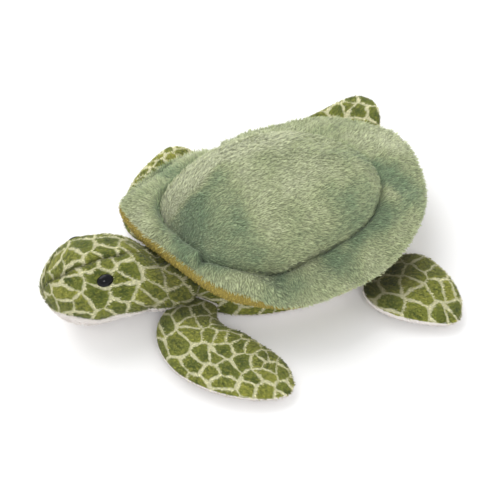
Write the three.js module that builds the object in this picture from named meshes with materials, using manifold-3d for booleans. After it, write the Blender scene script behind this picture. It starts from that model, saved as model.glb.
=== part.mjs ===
// A stuffed sea turtle lying on its belly, with a plush shell over a printed skin.
// Millimetres, +Z up. The head points to -Y and the turtle's left side is at +X.

import * as THREE from "three";
import { mergeVertices } from "three/addons/utils/BufferGeometryUtils.js";
import Module from "manifold-3d";

// Cloth, each thickness taken with its pile pressed down.
const cloth = {
  plush: 2.6, // long pile knit of the shell
  print: 2, // short pile knit of the skin
  belly: 2.2, // white plush of the undersides
  felt: 1.4, // ochre lining under the shell
};
const clearance = 0.3; // between pieces that are sewn or pressed together
const weld = 1e-4;
const overrun = 12; // how far a cutting form reaches past what it cuts

const shell = {
  rimFront: 92,
  rimRear: 102,
  rimHalfWidth: 80,
  domeFront: 76,
  domeRear: 73,
  domeHalfWidth: 55,
  domeOffset: -4, // the dome is sewn a little to the right of the rim's middle
  domeRise: 36,
  seamHeight: 41.5,
  undersideHeight: 36,
  edgeHeight: 34.5,
  frontLift: 5, // the neck holds up the front edge
  rearDrop: 2,
  edgeRadius: 4.4,
  puff: 3.4, // how far the rim swells above its seam
  wave: 2.3, // how far the rim's folds rise and fall
  rimSquareness: 2.2,
  domeSquareness: 2.3,
  steps: 40,
};
// Outline of the rim as shares of its reach, every 22.5 degrees from the left side round the front.
const rimReachShares = [
  0.97, 0.97, 0.93, 0.9, 0.96, 1.1, 1.07, 1.02, 0.95, 1.02, 1.07, 1.11, 1, 0.92, 0.9, 0.92,
];
const domeShares = [
  [0, 1],
  [0.34, 0.965],
  [0.61, 0.87],
  [0.82, 0.67],
  [0.955, 0.38],
  [1, 0],
];
const rimShares = [
  [0, 0],
  [0.16, 0.75],
  [0.42, 1],
  [0.72, 0.8],
];
// Where the rim meets its lining, in degrees above the edge's own middle. The lining shows along
// a stretch of the front, whose middle and ends are turned this far from the left side.
const edgeSeam = { frontAngle: 60, restAngle: -22, middle: -78, half: 26, fade: 66 };
const liningShares = [
  [0.88, 0.6],
  [0.7, 0.15],
  [0.4, 0],
];

const body = {
  halfLength: 80,
  halfWidth: 56,
  squareness: 2.2,
  height: 35.6,
  seamHeight: 10,
  flatShare: 0.66, // share of the belly that lies flat
  steps: 28,
};
const backShares = [
  [0, 1],
  [0.55, 0.985],
  [0.82, 0.86],
  [0.955, 0.5],
];
const bellyShares = [
  [0.955, 0.55],
  [0.84, 0.16],
];
const pellets = { halfLength: 46, halfWidth: 34, height: 12, squareness: 2, steps: 20 };
const pelletShares = [
  [0, 1],
  [0.6, 0.9],
  [1, 0.45],
  [0.85, 0],
  [0, 0],
];

const neck = {
  x: 0,
  y: -66,
  z: 19,
  ballRadius: 15,
  turn: 1, // degrees that the head is turned at rest, to the turtle's left
  roll: 16, // degrees that its left side is up
  mouthRadius: 27, // opening of the body round the neck
  mouthHeightShare: 0.96,
  mouthDepth: 19,
  mouthBack: 4.5, // how far behind the pivot that opening starts to widen
  openingShare: 0.45, // of the ball's radius, from the pivot to the open back of the cover
  sides: 24,
  rings: 14,
};
const head = { reach: 97.5, halfWidth: 29.5, crown: 42, chin: 15.2, sides: 16 };
// Rows of the head: share of the reach, then shares of half width, crown and chin.
const headShares = [
  [0.12, 0.59, 0.35, 1],
  [0.22, 0.7, 0.34, 1],
  [0.32, 0.8, 0.51, 0.98],
  [0.425, 0.9, 0.76, 0.97],
  [0.535, 0.97, 0.92, 1],
  [0.655, 1, 1, 1],
  [0.775, 0.94, 0.955, 0.84],
  [0.87, 0.77, 0.81, 0.43],
  [0.94, 0.53, 0.63, -0.12],
  [0.985, 0.28, 0.49, -0.62],
];
// Outline of the gusset from the nose back: share of the reach, share of the head's half width.
const gussetShares = [
  [0.97, 0.05],
  [0.86, 0.27],
  [0.72, 0.43],
  [0.5, 0.43],
  [0.25, 0.26],
  [-0.2, 0.2],
];
// Jaw seam from the nose back: share of the reach, share of the chin's depth.
const jawShares = [
  [1.1, 0.25],
  [0.9, 0.22],
  [0.72, -0.2],
  [0.5, -0.42],
  [0.3, -0.6],
  [-0.2, -0.6],
];

const eye = {
  alongShare: 0.645, // of the head's reach
  elevation: 25.5, // degrees above the side of the head
  halfWidth: 5.5,
  halfHeight: 4.3,
  bulge: 3.2,
  seat: 1.1, // how deep it is drawn into the pile
  shankRadius: 1.6,
  shankLength: 7.5,
  proudShare: 0.6, // of that depth, by which the dome stands further out
  washerRadius: 5.2,
  washerThickness: 1.4,
  washerSink: 1, // how deep the washer is pulled into the fibre
  sides: 16,
};
const eyeShares = [0.97, 0.82, 0.52]; // rings of the eye's dome, as shares of its half width

const frontFlipper = {
  length: 91,
  halfWidth: 24,
  halfThickness: 9,
  rootAngle: 65, // degrees from the left side towards the front, along the body's seam
  rootHeight: 16.5,
  rootInset: 1.4, // how far its root lies inside the oval of the body's seam
  tipHeight: 6.4,
};
const rearFlipper = {
  length: 76,
  halfWidth: 24,
  halfThickness: 7.5,
  rootAngle: -40,
  rootHeight: 15,
  rootInset: 0.9,
  tipHeight: 6,
};
// Rows of a flipper: share of its length, then shares of leading and trailing width and thickness.
const frontShares = [
  [0.0, 0.54, 0.46, 0.27],
  [0.08, 0.96, 0.48, 0.5],
  [0.2, 1.28, 0.66, 0.83],
  [0.36, 1.28, 0.98, 1],
  [0.54, 1.04, 1.1, 0.96],
  [0.7, 0.82, 1.08, 0.86],
  [0.84, 0.64, 0.96, 0.72],
  [0.94, 0.46, 0.72, 0.54],
  [0.98, 0.3, 0.44, 0.36],
  [1, 0.13, 0.16, 0.14],
];
const rearShares = [
  [0.0, 0.6, 0.66, 0.32],
  [0.1, 0.92, 0.95, 0.62],
  [0.25, 1.06, 1.12, 0.92],
  [0.45, 0.98, 1.16, 1],
  [0.65, 0.78, 1.04, 0.9],
  [0.82, 0.58, 0.8, 0.74],
  [0.93, 0.4, 0.52, 0.56],
  [0.98, 0.24, 0.28, 0.36],
  [1, 0.1, 0.1, 0.14],
];
const flipper = {
  sides: 12,
  steps: 96, // along its spine
  fall: 0.7, // power by which it sinks from its root to its tip
  slantShare: 0.5, // how much of that turn it makes at the seam itself
  // Rows that round off its root: shares of the root's half thickness back, wide and thick.
  rootShares: [
    [1, 0.88, 0.3],
    [0.7, 0.96, 0.72],
  ],
};
// Each flipper as it lies: heading and bend in degrees, the share of its length in which it turns
// there from its seam, the shares of length and width that its folds leave it, and its tip's lift
// as a share of its root's height.
const poseShares = {
  front_left: { mirror: 1, heading: 25, bend: -96, turn: 0.44, long: 1, wide: 0.95, lift: 0 },
  front_right: { mirror: -1, heading: -31, bend: -11, turn: 0.26, long: 1.05, wide: 0.84, lift: 0 },
  rear_left: { mirror: 1, heading: -23, bend: -15, turn: 0.39, long: 0.79, wide: 1.05, lift: 0 },
  rear_right: { mirror: -1, heading: -72, bend: 18, turn: 0.3, long: 0.95, wide: 0.94, lift: 1 },
};
Object.entries(poseShares).forEach(([name, pose]) => {
  const isFront = name.startsWith("front");
  pose.kind = isFront ? frontFlipper : rearFlipper;
  pose.shares = isFront ? frontShares : rearShares;
});

const colours = {
  sage: 0x97b07f,
  ochre: 0xa68432,
  scales: 0x6f8034,
  white: 0xece5e4,
  black: 0x111114,
  fibre: 0xf4f3ee,
  calico: 0xe6dfcc,
  nylon: 0xdedede,
};

const wasm = await Module();
wasm.setup();

const radians = THREE.MathUtils.degToRad;

// Points and faces as a closed geometry, with welded corners and no faces without area.
function closed(points, faces) {
  const loose = new THREE.BufferGeometry().setFromPoints(points).setIndex(faces);
  const merged = mergeVertices(loose, weld);
  const index = merged.index.array;
  const kept = [];
  for (let i = 0; i < index.length; i += 3) {
    const [a, b, c] = [index[i], index[i + 1], index[i + 2]];
    if (a !== b && b !== c && c !== a) kept.push(a, b, c);
  }
  return merged.setIndex(kept);
}

// A closed geometry as a solid that can be cut and joined.
function solid(geometry) {
  const bare = geometry.clone();
  bare.deleteAttribute("normal");
  bare.deleteAttribute("uv");
  const merged = mergeVertices(bare, weld);
  const vertProperties = merged.attributes.position.array;
  const triVerts = new Uint32Array(merged.index.array);
  return new wasm.Manifold(new wasm.Mesh({ numProp: 3, vertProperties, triVerts }));
}

// A solid as a geometry again.
function geometryOf(shape) {
  const mesh = shape.getMesh();
  const position = new THREE.BufferAttribute(new Float32Array(mesh.vertProperties), 3);
  return new THREE.BufferGeometry().setAttribute("position", position).setIndex([...mesh.triVerts]);
}

// Skin over a row of rings with a fan over each open end, or round a loop of sections.
function skin(rings, looped) {
  const count = rings[0].length;
  const points = rings.flat();
  const faces = [];
  const spans = looped ? rings.length : rings.length - 1;
  for (let i = 0; i < spans; i += 1) {
    const here = i * count;
    const next = ((i + 1) % rings.length) * count;
    for (let j = 0; j < count; j += 1) {
      const k = (j + 1) % count;
      faces.push(here + j, here + k, next + k, here + j, next + k, next + j);
    }
  }
  if (!looped) {
    const last = (rings.length - 1) * count;
    const middle = points.length;
    points.push(centreOf(rings[0]), centreOf(rings.at(-1)));
    for (let j = 0; j < count; j += 1) {
      const k = (j + 1) % count;
      faces.push(middle, k, j, middle + 1, last + j, last + k);
    }
  }
  return closed(points, faces);
}

function centreOf(ring) {
  const sum = ring.reduce((total, point) => total.add(point), new THREE.Vector3());
  return sum.divideScalar(ring.length);
}

// A solid made of one section for each angle round a vertical axis, in distance and height.
function roundAxis(sectionAt, steps, centre) {
  const rings = [];
  for (let i = 0; i < steps; i += 1) {
    const angle = (2 * Math.PI * i) / steps;
    const place = (point) =>
      new THREE.Vector3(
        centre.x + point.x * Math.cos(angle),
        centre.y + point.x * Math.sin(angle),
        point.y,
      );
    rings.push(sectionAt(angle).map(place));
  }
  return skin(rings, true);
}

// The path moved to its inner side by a distance; its ends on the axis stay there.
function inset(path, distance) {
  return path.map((point, i) => {
    const before = path[Math.max(i - 1, 0)];
    const after = path[Math.min(i + 1, path.length - 1)];
    const normal = inwardNormal(before, point).add(inwardNormal(point, after)).normalize();
    if (point.x < weld) normal.set(0, Math.sign(normal.y));
    return point.clone().addScaledVector(normal, distance);
  });
}

function inwardNormal(from, to) {
  const along = to.clone().sub(from);
  if (along.length() < weld) return new THREE.Vector2();
  return new THREE.Vector2(along.y, -along.x).normalize();
}

// The path with one end drawn back along itself.
function drawnBack(path, end, distance) {
  const result = path.map((point) => point.clone());
  const [tip, next] = end === "first" ? [result[0], result[1]] : [result.at(-1), result.at(-2)];
  tip.lerp(next, distance / tip.distanceTo(next));
  return result;
}

// A sheet that lies inside part of a path, drawn back from each seam at its ends.
function sheet(path, [first, last], thickness) {
  const part = (whole) => {
    let row = whole.slice(first, last + 1);
    if (first > 0) row = drawnBack(row, "first", clearance);
    return last < path.length - 1 ? drawnBack(row, "last", clearance) : row;
  };
  return [...part(path), ...part(inset(path, thickness)).reverse()];
}

// Distance from the middle to a rounded oval, towards an angle.
function ovalReach(angle, halfWidth, halfLength, squareness) {
  const across = Math.abs(Math.cos(angle) / halfWidth) ** squareness;
  const along = Math.abs(Math.sin(angle) / halfLength) ** squareness;
  return (across + along) ** (-1 / squareness);
}

// A value from a closed table of even steps, with a smooth curve between them.
function roundTable(table, angle) {
  const place = ((angle / (2 * Math.PI)) * table.length + table.length) % table.length;
  const first = Math.floor(place);
  const at = (i) => table[(i + table.length) % table.length];
  const t = place - first;
  const [p, q, r, s] = [at(first - 1), at(first), at(first + 1), at(first + 2)];
  return q + 0.5 * t * (r - p + t * (2 * p - 5 * q + 4 * r - s + t * (3 * (q - r) + s - p)));
}

// From 1 along the stretch of the front where the lining shows to 0 at the sides and rear.
function frontness(angle) {
  const near = Math.cos(angle - radians(edgeSeam.middle));
  const [low, high] = [Math.cos(radians(edgeSeam.fade)), Math.cos(radians(edgeSeam.half))];
  return THREE.MathUtils.smoothstep(near, low, high);
}

function rimReach(angle) {
  const towardsFront = Math.sin(angle) < 0;
  const halfLength = towardsFront ? shell.rimFront : shell.rimRear;
  const oval = ovalReach(angle, shell.rimHalfWidth, halfLength, shell.rimSquareness);
  return oval * roundTable(rimReachShares, -angle);
}

function domeReach(angle) {
  const halfLength = Math.sin(angle) < 0 ? shell.domeFront : shell.domeRear;
  return ovalReach(angle, shell.domeHalfWidth, halfLength, shell.domeSquareness);
}

// Height of the folds that run round the rim.
function rimWave(angle) {
  return shell.wave * (0.6 * Math.cos(5 * angle + 0.4) + 0.4 * Math.cos(8 * angle - 1.1));
}

function edgeHeight(angle) {
  const slope = Math.sin(angle) < 0 ? shell.frontLift : shell.rearDrop;
  return shell.edgeHeight - slope * Math.sin(angle) + rimWave(angle);
}

// Where the ray from the rim's middle meets the dome's seam.
function seamReach(angle) {
  return domeReach(angle) + shell.domeOffset * Math.cos(angle);
}

// The shell's outside for one angle: over the dome, over the rim, and back under the lining.
function shellPath(angle) {
  const seam = seamReach(angle);
  const edge = rimReach(angle) - shell.edgeRadius;
  const height = edgeHeight(angle);
  const dome = domeShares.map(
    ([out, up]) => new THREE.Vector2(out * seam, shell.seamHeight + up * shell.domeRise),
  );
  const top = height + shell.edgeRadius;
  const rim = rimShares.map(([out, up]) => {
    const level = THREE.MathUtils.lerp(shell.seamHeight, top, out);
    return new THREE.Vector2(THREE.MathUtils.lerp(seam, edge, out), level + up * shell.puff);
  });
  const seamAngle = THREE.MathUtils.lerp(edgeSeam.restAngle, edgeSeam.frontAngle, frontness(angle));
  const onEdge = (degrees) =>
    new THREE.Vector2(
      edge + shell.edgeRadius * Math.cos(radians(degrees)),
      height + shell.edgeRadius * Math.sin(radians(degrees)),
    );
  rim.push(onEdge(90), onEdge((90 + seamAngle) / 2), onEdge(seamAngle));
  const lining = [onEdge((seamAngle - 90) / 2), onEdge(-90)];
  const bottom = height - shell.edgeRadius;
  liningShares.forEach(([out, down]) => {
    lining.push(
      new THREE.Vector2(out * edge, THREE.MathUtils.lerp(shell.undersideHeight, bottom, down)),
    );
  });
  lining.push(new THREE.Vector2(0, shell.undersideHeight));
  return [...dome, ...rim.slice(1), ...lining];
}

const middle = { x: 0, y: 0 };
const domeSeam = domeShares.length - 1;
const rimSeam = domeSeam + rimShares.length + 2;
const shellEnd = rimSeam + liningShares.length + 3;

function domeCover() {
  const section = (angle) => sheet(shellPath(angle), [0, domeSeam], cloth.plush);
  return roundAxis(section, shell.steps, middle);
}

function rimCover() {
  const section = (angle) => sheet(shellPath(angle), [domeSeam, rimSeam], cloth.plush);
  return roundAxis(section, shell.steps, middle);
}

function shellLining() {
  const section = (angle) => sheet(shellPath(angle), [rimSeam, shellEnd], cloth.felt);
  return roundAxis(section, shell.steps, middle);
}

// Fibre under the dome, down to the level of its seam.
function domeStuffing() {
  const section = (angle) => {
    const over = inset(shellPath(angle), cloth.plush + clearance).slice(0, domeSeam);
    const foot = shell.seamHeight - clearance;
    const last = over.at(-1);
    return [...over, new THREE.Vector2(last.x, foot), new THREE.Vector2(0, foot)];
  };
  return roundAxis(section, shell.steps, middle);
}

// The stuffed body's outside for one angle: over the back to the side seam, and under the belly.
function bodyPath(angle) {
  const reach = ovalReach(angle, body.halfWidth, body.halfLength, body.squareness);
  const back = backShares.map(
    ([out, up]) =>
      new THREE.Vector2(out * reach, THREE.MathUtils.lerp(body.seamHeight, body.height, up)),
  );
  const belly = [new THREE.Vector2(reach, body.seamHeight)];
  bellyShares.forEach(([out, up]) => {
    belly.push(new THREE.Vector2(out * reach, up * body.seamHeight));
  });
  belly.push(new THREE.Vector2(body.flatShare * reach, 0), new THREE.Vector2(0, 0));
  return [...back, ...belly];
}

const sideSeam = backShares.length;
const bodyEnd = sideSeam + bellyShares.length + 2;

// Room for the neck: a ball round its pivot and a mouth that lets it swing.
function neckRoom() {
  const reach = neck.ballRadius + clearance;
  const ball = new THREE.SphereGeometry(reach, neck.sides, neck.rings);
  const depth = neck.mouthDepth + neck.mouthBack;
  const mouth = new THREE.CylinderGeometry(reach, neck.mouthRadius, depth, neck.sides);
  mouth.translate(0, neck.mouthBack - depth / 2, 0).scale(1, 1, neck.mouthHeightShare);
  mouth.rotateZ(radians(neck.turn));
  return solid(ball).add(solid(mouth)).translate([neck.x, neck.y, neck.z]);
}

function backPanel(room) {
  const section = (angle) => sheet(bodyPath(angle), [0, sideSeam], cloth.print);
  return geometryOf(solid(roundAxis(section, body.steps, middle)).subtract(room));
}

function bellyPanel(room) {
  const section = (angle) => sheet(bodyPath(angle), [sideSeam, bodyEnd], cloth.belly);
  return geometryOf(solid(roundAxis(section, body.steps, middle)).subtract(room));
}

function bodyStuffing(room, pocket) {
  const section = (angle) => {
    const path = bodyPath(angle);
    const over = inset(path, cloth.print + clearance).slice(0, sideSeam);
    const under = inset(path, cloth.belly + clearance).slice(sideSeam);
    return [...over, ...under];
  };
  const whole = solid(roundAxis(section, body.steps, middle));
  return geometryOf(whole.subtract(room).subtract(pocket));
}

// A bag of pellets lying on the belly cloth.
function pelletBag() {
  return roundAxis((angle) => pelletPath(angle, 0), pellets.steps, middle);
}

// The pocket in the fibre that holds the bag, open towards the belly.
function pelletPocket() {
  const section = (angle) => {
    const path = pelletPath(angle, clearance).slice(0, 3);
    return [...path, new THREE.Vector2(path.at(-1).x, 0), new THREE.Vector2(0, 0)];
  };
  return roundAxis(section, pellets.steps, middle);
}

function pelletPath(angle, grown) {
  const floor = cloth.belly + clearance;
  const reach = ovalReach(angle, pellets.halfWidth, pellets.halfLength, pellets.squareness);
  return pelletShares.map(([out, up]) => {
    const spread = out > 0 ? out * reach + grown : 0;
    return new THREE.Vector2(spread, floor + up * pellets.height + grown);
  });
}

// Rows of the head about the neck's pivot: distance forward, half width, top and bottom.
function headRows() {
  const ball = [-80, -50, -22].map((degrees) => {
    const radius = neck.ballRadius * Math.cos(radians(degrees));
    const along = neck.ballRadius * Math.sin(radians(degrees));
    return { along, half: radius, top: radius, bottom: radius };
  });
  const middle = { along: 0, half: neck.ballRadius, top: neck.ballRadius, bottom: neck.ballRadius };
  const rows = headShares.map(([along, half, top, bottom]) => ({
    along: along * head.reach,
    half: half * head.halfWidth,
    top: top * head.crown,
    bottom: bottom * head.chin,
  }));
  return [...ball, middle, ...rows];
}

// The head and neck as one smooth form, drawn in by the given depth.
function headForm(depth) {
  const rows = headRows();
  const rings = rows.map((row, i) => {
    const ring = [];
    const tall = (row.top + row.bottom) / 2;
    const high = (row.top - row.bottom) / 2;
    const end = i === 0 ? 1 : i === rows.length - 1 ? -1 : 0;
    for (let j = 0; j < head.sides; j += 1) {
      const turn = (2 * Math.PI * j) / head.sides;
      const x = (row.half - depth) * Math.cos(turn);
      const z = high + (tall - depth) * Math.sin(turn);
      ring.push(new THREE.Vector3(x, -row.along - end * depth, z));
    }
    return ring;
  });
  return solid(skin(rings, false));
}

// A prism over an outline seen from above, from just over the jaw's seam up.
function gussetPrism(grown) {
  const right = gussetShares.map(([along, half]) => ({
    along: along * head.reach,
    half: half * head.halfWidth + grown,
  }));
  const outline = new THREE.Shape();
  outline.moveTo(0, -right[0].along - grown);
  right.forEach((row) => outline.lineTo(row.half, -row.along));
  [...right].reverse().forEach((row) => outline.lineTo(-row.half, -row.along));
  const low = jawShares[0][1] * head.chin + 2 * clearance;
  const depth = head.crown + overrun;
  const prism = new THREE.ExtrudeGeometry(outline, { depth, bevelEnabled: false });
  return solid(prism.translate(0, 0, low));
}

// Everything below the jaw's seam.
function jawPrism(grown) {
  const outline = new THREE.Shape();
  const rows = jawShares.map(([along, down]) => [along * head.reach, down * head.chin + grown]);
  outline.moveTo(rows[0][0], -head.chin - overrun);
  rows.forEach(([along, high]) => outline.lineTo(along, high));
  outline.lineTo(rows.at(-1)[0], -head.chin - overrun);
  const width = 2 * (head.halfWidth + overrun);
  const prism = new THREE.ExtrudeGeometry(outline, { depth: width, bevelEnabled: false });
  prism.translate(0, 0, -width / 2).rotateX(Math.PI / 2).rotateZ(-Math.PI / 2);
  return solid(prism);
}

// A box from one corner to another.
function block(low, high) {
  const size = new THREE.Vector3().subVectors(high, low);
  const middle = new THREE.Vector3().addVectors(low, high).divideScalar(2);
  return solid(new THREE.BoxGeometry(size.x, size.y, size.z).translate(...middle.toArray()));
}

// The half of space on one side of the head's middle plane.
function sideBlock(side) {
  const far = head.halfWidth + overrun;
  const [near, away] = [side * (clearance / 2), side * far];
  const low = new THREE.Vector3(Math.min(near, away), -head.reach - overrun, -far);
  const high = new THREE.Vector3(Math.max(near, away), head.reach, head.crown + overrun);
  return block(low, high);
}

// Opening at the back of the neck's cover, where its fibre meets the body's.
function neckOpening() {
  const reach = neck.ballRadius + overrun;
  const back = neck.ballRadius * neck.openingShare;
  return block(new THREE.Vector3(-reach, back, -reach), new THREE.Vector3(reach, reach, reach));
}

// Where one eye sits and the way it faces, about the neck's pivot.
function eyeFrame(side) {
  const along = eye.alongShare * head.reach;
  const tall = (head.crown + head.chin) / 2;
  const high = (head.crown - head.chin) / 2;
  const angle = radians(eye.elevation);
  const outwards = new THREE.Vector3(side * Math.cos(angle), 0, Math.sin(angle));
  const across = Math.cos(angle) / head.halfWidth;
  const reach = 1 / Math.hypot(across, Math.sin(angle) / tall);
  const surface = new THREE.Vector3(0, -along, high).addScaledVector(outwards, reach);
  const turn = new THREE.Quaternion().setFromUnitVectors(new THREE.Vector3(0, 0, 1), outwards);
  return new THREE.Matrix4().compose(surface, turn, new THREE.Vector3(1, 1, 1));
}

// A turned form on the eye's own axis, wider along the head than across it.
function turned(profile, oval) {
  const points = profile.map(([radius, high]) => new THREE.Vector2(radius, high));
  const form = new THREE.LatheGeometry(points, eye.sides);
  form.rotateX(Math.PI / 2);
  if (oval) form.scale(eye.halfHeight / eye.halfWidth, 1, 1);
  return form;
}

function eyeForm() {
  const back = -eye.seat + clearance;
  const proud = back + eye.seat * eye.proudShare;
  const dome = eyeShares.map((out) => [
    out * eye.halfWidth,
    proud + eye.bulge * Math.sqrt(1 - out * out),
  ]);
  const profile = [
    [0, back - eye.shankLength],
    [eye.shankRadius, back - eye.shankLength],
    [eye.shankRadius, back],
    [eye.halfWidth, back],
    ...dome,
    [0, proud + eye.bulge],
  ];
  return turned(profile, true);
}

// The recess that the eye is drawn into, with the hole for its shank.
function eyeCut() {
  const back = -eye.seat;
  const profile = [
    [0, back - eye.shankLength],
    [eye.shankRadius + clearance, back - eye.shankLength],
    [eye.shankRadius + clearance, back],
    [eye.halfWidth + clearance, back],
    [eye.halfWidth + clearance, overrun],
    [0, overrun],
  ];
  return turned(profile, true);
}

const washerLevel = -eye.seat - cloth.print - eye.washerSink;

function washerForm() {
  const inner = eye.shankRadius + clearance;
  const low = washerLevel - eye.washerThickness;
  const profile = [
    [inner, low],
    [eye.washerRadius, low],
    [eye.washerRadius, washerLevel],
    [inner, washerLevel],
    [inner, low],
  ];
  return turned(profile, false);
}

// Room in the fibre for the washer and the end of the shank.
function washerPocket() {
  const low = -eye.seat - eye.shankLength - clearance;
  const profile = [
    [0, low],
    [eye.washerRadius + clearance, low],
    [eye.washerRadius + clearance, overrun],
    [0, overrun],
  ];
  return turned(profile, false);
}

function placedSolid(form, matrix) {
  return solid(form.clone().applyMatrix4(matrix));
}

// Direction square to the body's side seam, in degrees from the left side towards the front.
function seamHeading(angle) {
  const reach = ovalReach(angle, body.halfWidth, body.halfLength, body.squareness);
  const power = body.squareness - 1;
  const across = Math.abs((reach * Math.cos(angle)) / body.halfWidth) ** power / body.halfWidth;
  const along = Math.abs((reach * Math.sin(angle)) / body.halfLength) ** power / body.halfLength;
  return THREE.MathUtils.radToDeg(Math.atan2(Math.sign(angle) * along, across));
}

// Heading of a flipper at a share of its length, from the one it starts with to how it lies.
function headingAt(pose, share, start) {
  const turned = THREE.MathUtils.smoothstep(share, 0, pose.turn);
  return THREE.MathUtils.lerp(start, pose.heading, turned) + pose.bend * share;
}

function direction(pose, heading) {
  const angle = radians(heading);
  return new THREE.Vector3(pose.mirror * Math.cos(angle), -Math.sin(angle), 0);
}

// Middle of a flipper's root, just clear of the body's side seam.
function flipperRoot(pose) {
  const { kind, shares, mirror } = pose;
  const angle = radians(kind.rootAngle);
  const reach = ovalReach(angle, body.halfWidth, body.halfLength, body.squareness);
  const onSeam = new THREE.Vector3(mirror * Math.cos(angle), -Math.sin(angle), 0);
  const gap = shares[0][3] * kind.halfThickness + clearance - kind.rootInset;
  const square = direction(pose, seamHeading(angle));
  return onSeam.multiplyScalar(reach).addScaledVector(square, gap).setZ(kind.rootHeight);
}

// Rows along one flipper: a place on its bent spine, the way across it, and its shares.
function flipperRows(pose) {
  const { kind, shares } = pose;
  const square = seamHeading(radians(kind.rootAngle));
  const slanted = THREE.MathUtils.lerp(square, pose.heading, flipper.slantShare);
  const spine = [flipperRoot(pose)];
  for (let i = 0; i < flipper.steps; i += 1) {
    const along = direction(pose, headingAt(pose, (i + 0.5) / flipper.steps, slanted));
    const step = (kind.length * pose.long) / flipper.steps;
    spine.push(spine.at(-1).clone().addScaledVector(along, step));
  }
  const [, rootLead, rootTrail, rootThick] = shares[0];
  const seam = direction(pose, square);
  const rounded = flipper.rootShares.map(([back, wide, thick]) => ({
    place: spine[0].clone().addScaledVector(seam, -back * rootThick * kind.halfThickness),
    across: direction(pose, square + 90),
    lead: wide * rootLead,
    trail: wide * rootTrail,
    thick: thick * rootThick,
  }));
  const rows = shares.map(([along, lead, trail, thick]) => {
    const place = spine[Math.round(along * flipper.steps)].clone();
    const tip = kind.tipHeight + pose.lift * kind.rootHeight;
    place.z = THREE.MathUtils.lerp(kind.rootHeight, tip, along ** flipper.fall);
    const across = direction(pose, headingAt(pose, along, square) + 90);
    return { place, across, lead, trail, thick };
  });
  return [...rounded, ...rows];
}

// Points of one row from turn 0 on, drawn in by a depth; the side is -1 for the row turned over.
function flipperRing(pose, row, depth, count, side, rise) {
  const { kind } = pose;
  const ring = [];
  for (let j = 0; j < count; j += 1) {
    const turn = (2 * Math.PI * j) / flipper.sides;
    const share = Math.cos(turn) > 0 ? row.lead : row.trail;
    const out = (share * pose.wide * kind.halfWidth - depth) * Math.cos(turn);
    const up = (row.thick * kind.halfThickness - depth) * Math.sin(turn) + rise;
    ring.push(row.place.clone().addScaledVector(row.across, out).setZ(row.place.z + side * up));
  }
  return ring;
}

// A flipper's filling drawn in by a depth, or its hollow with no slack. Both leave out thin ends.
function flipperFilling(pose, depth, slack) {
  const thick = (row) => row.thick * pose.kind.halfThickness;
  const rows = flipperRows(pose).filter((row) => thick(row) >= 2 * cloth.print);
  const shortened = (row, next) => {
    const inwards = next.place.clone().sub(row.place).setLength(slack);
    return { ...row, place: row.place.clone().add(inwards) };
  };
  const ends = [shortened(rows[0], rows[1]), shortened(rows.at(-1), rows.at(-2))];
  const rings = [ends[0], ...rows.slice(1, -1), ends[1]].map((row) => {
    return flipperRing(pose, row, depth + slack, flipper.sides, 1, 0);
  });
  return facing(skin(rings, false), pose.mirror < 0);
}

// The half of a flipper above its seam, or below it, as a full form.
function flipperHalf(pose, side) {
  const count = flipper.sides / 2 + 1;
  const rings = flipperRows(pose).map((row) => {
    return flipperRing(pose, row, 0, count, side, clearance / 2);
  });
  return facing(skin(rings, false), pose.mirror * side < 0);
}

// The form as it is, or with its faces turned round.
function facing(form, isOutwards) {
  return isOutwards ? form : form.setIndex([...form.index.array].reverse());
}

function material(colour, roughness) {
  return new THREE.MeshStandardMaterial({ color: colour, roughness, metalness: 0 });
}

const finishes = {
  sage: material(colours.sage, 0.95),
  ochre: material(colours.ochre, 0.95),
  scales: material(colours.scales, 0.9),
  white: material(colours.white, 0.95),
  black: material(colours.black, 0.12),
  fibre: material(colours.fibre, 1),
  calico: material(colours.calico, 0.9),
  nylon: material(colours.nylon, 0.5),
};

function named(name, geometry, finish) {
  const mesh = new THREE.Mesh(geometry, finish);
  mesh.name = name;
  geometry.computeVertexNormals();
  return mesh;
}

function shellGroup() {
  const group = new THREE.Group();
  group.add(
    named("shell_dome_cover", domeCover(), finishes.sage),
    named("shell_rim_cover", rimCover(), finishes.sage),
    named("shell_lining", shellLining(), finishes.ochre),
    named("shell_stuffing", domeStuffing(), finishes.fibre),
  );
  return group;
}

function bodyGroup() {
  const room = neckRoom();
  const pocket = solid(pelletPocket());
  const group = new THREE.Group();
  group.add(
    named("body_back_panel", backPanel(room), finishes.scales),
    named("belly_panel", bellyPanel(room), finishes.white),
    named("body_stuffing", bodyStuffing(room, pocket), finishes.fibre),
    named("pellet_bag", pelletBag(), finishes.calico),
  );
  return group;
}

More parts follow.
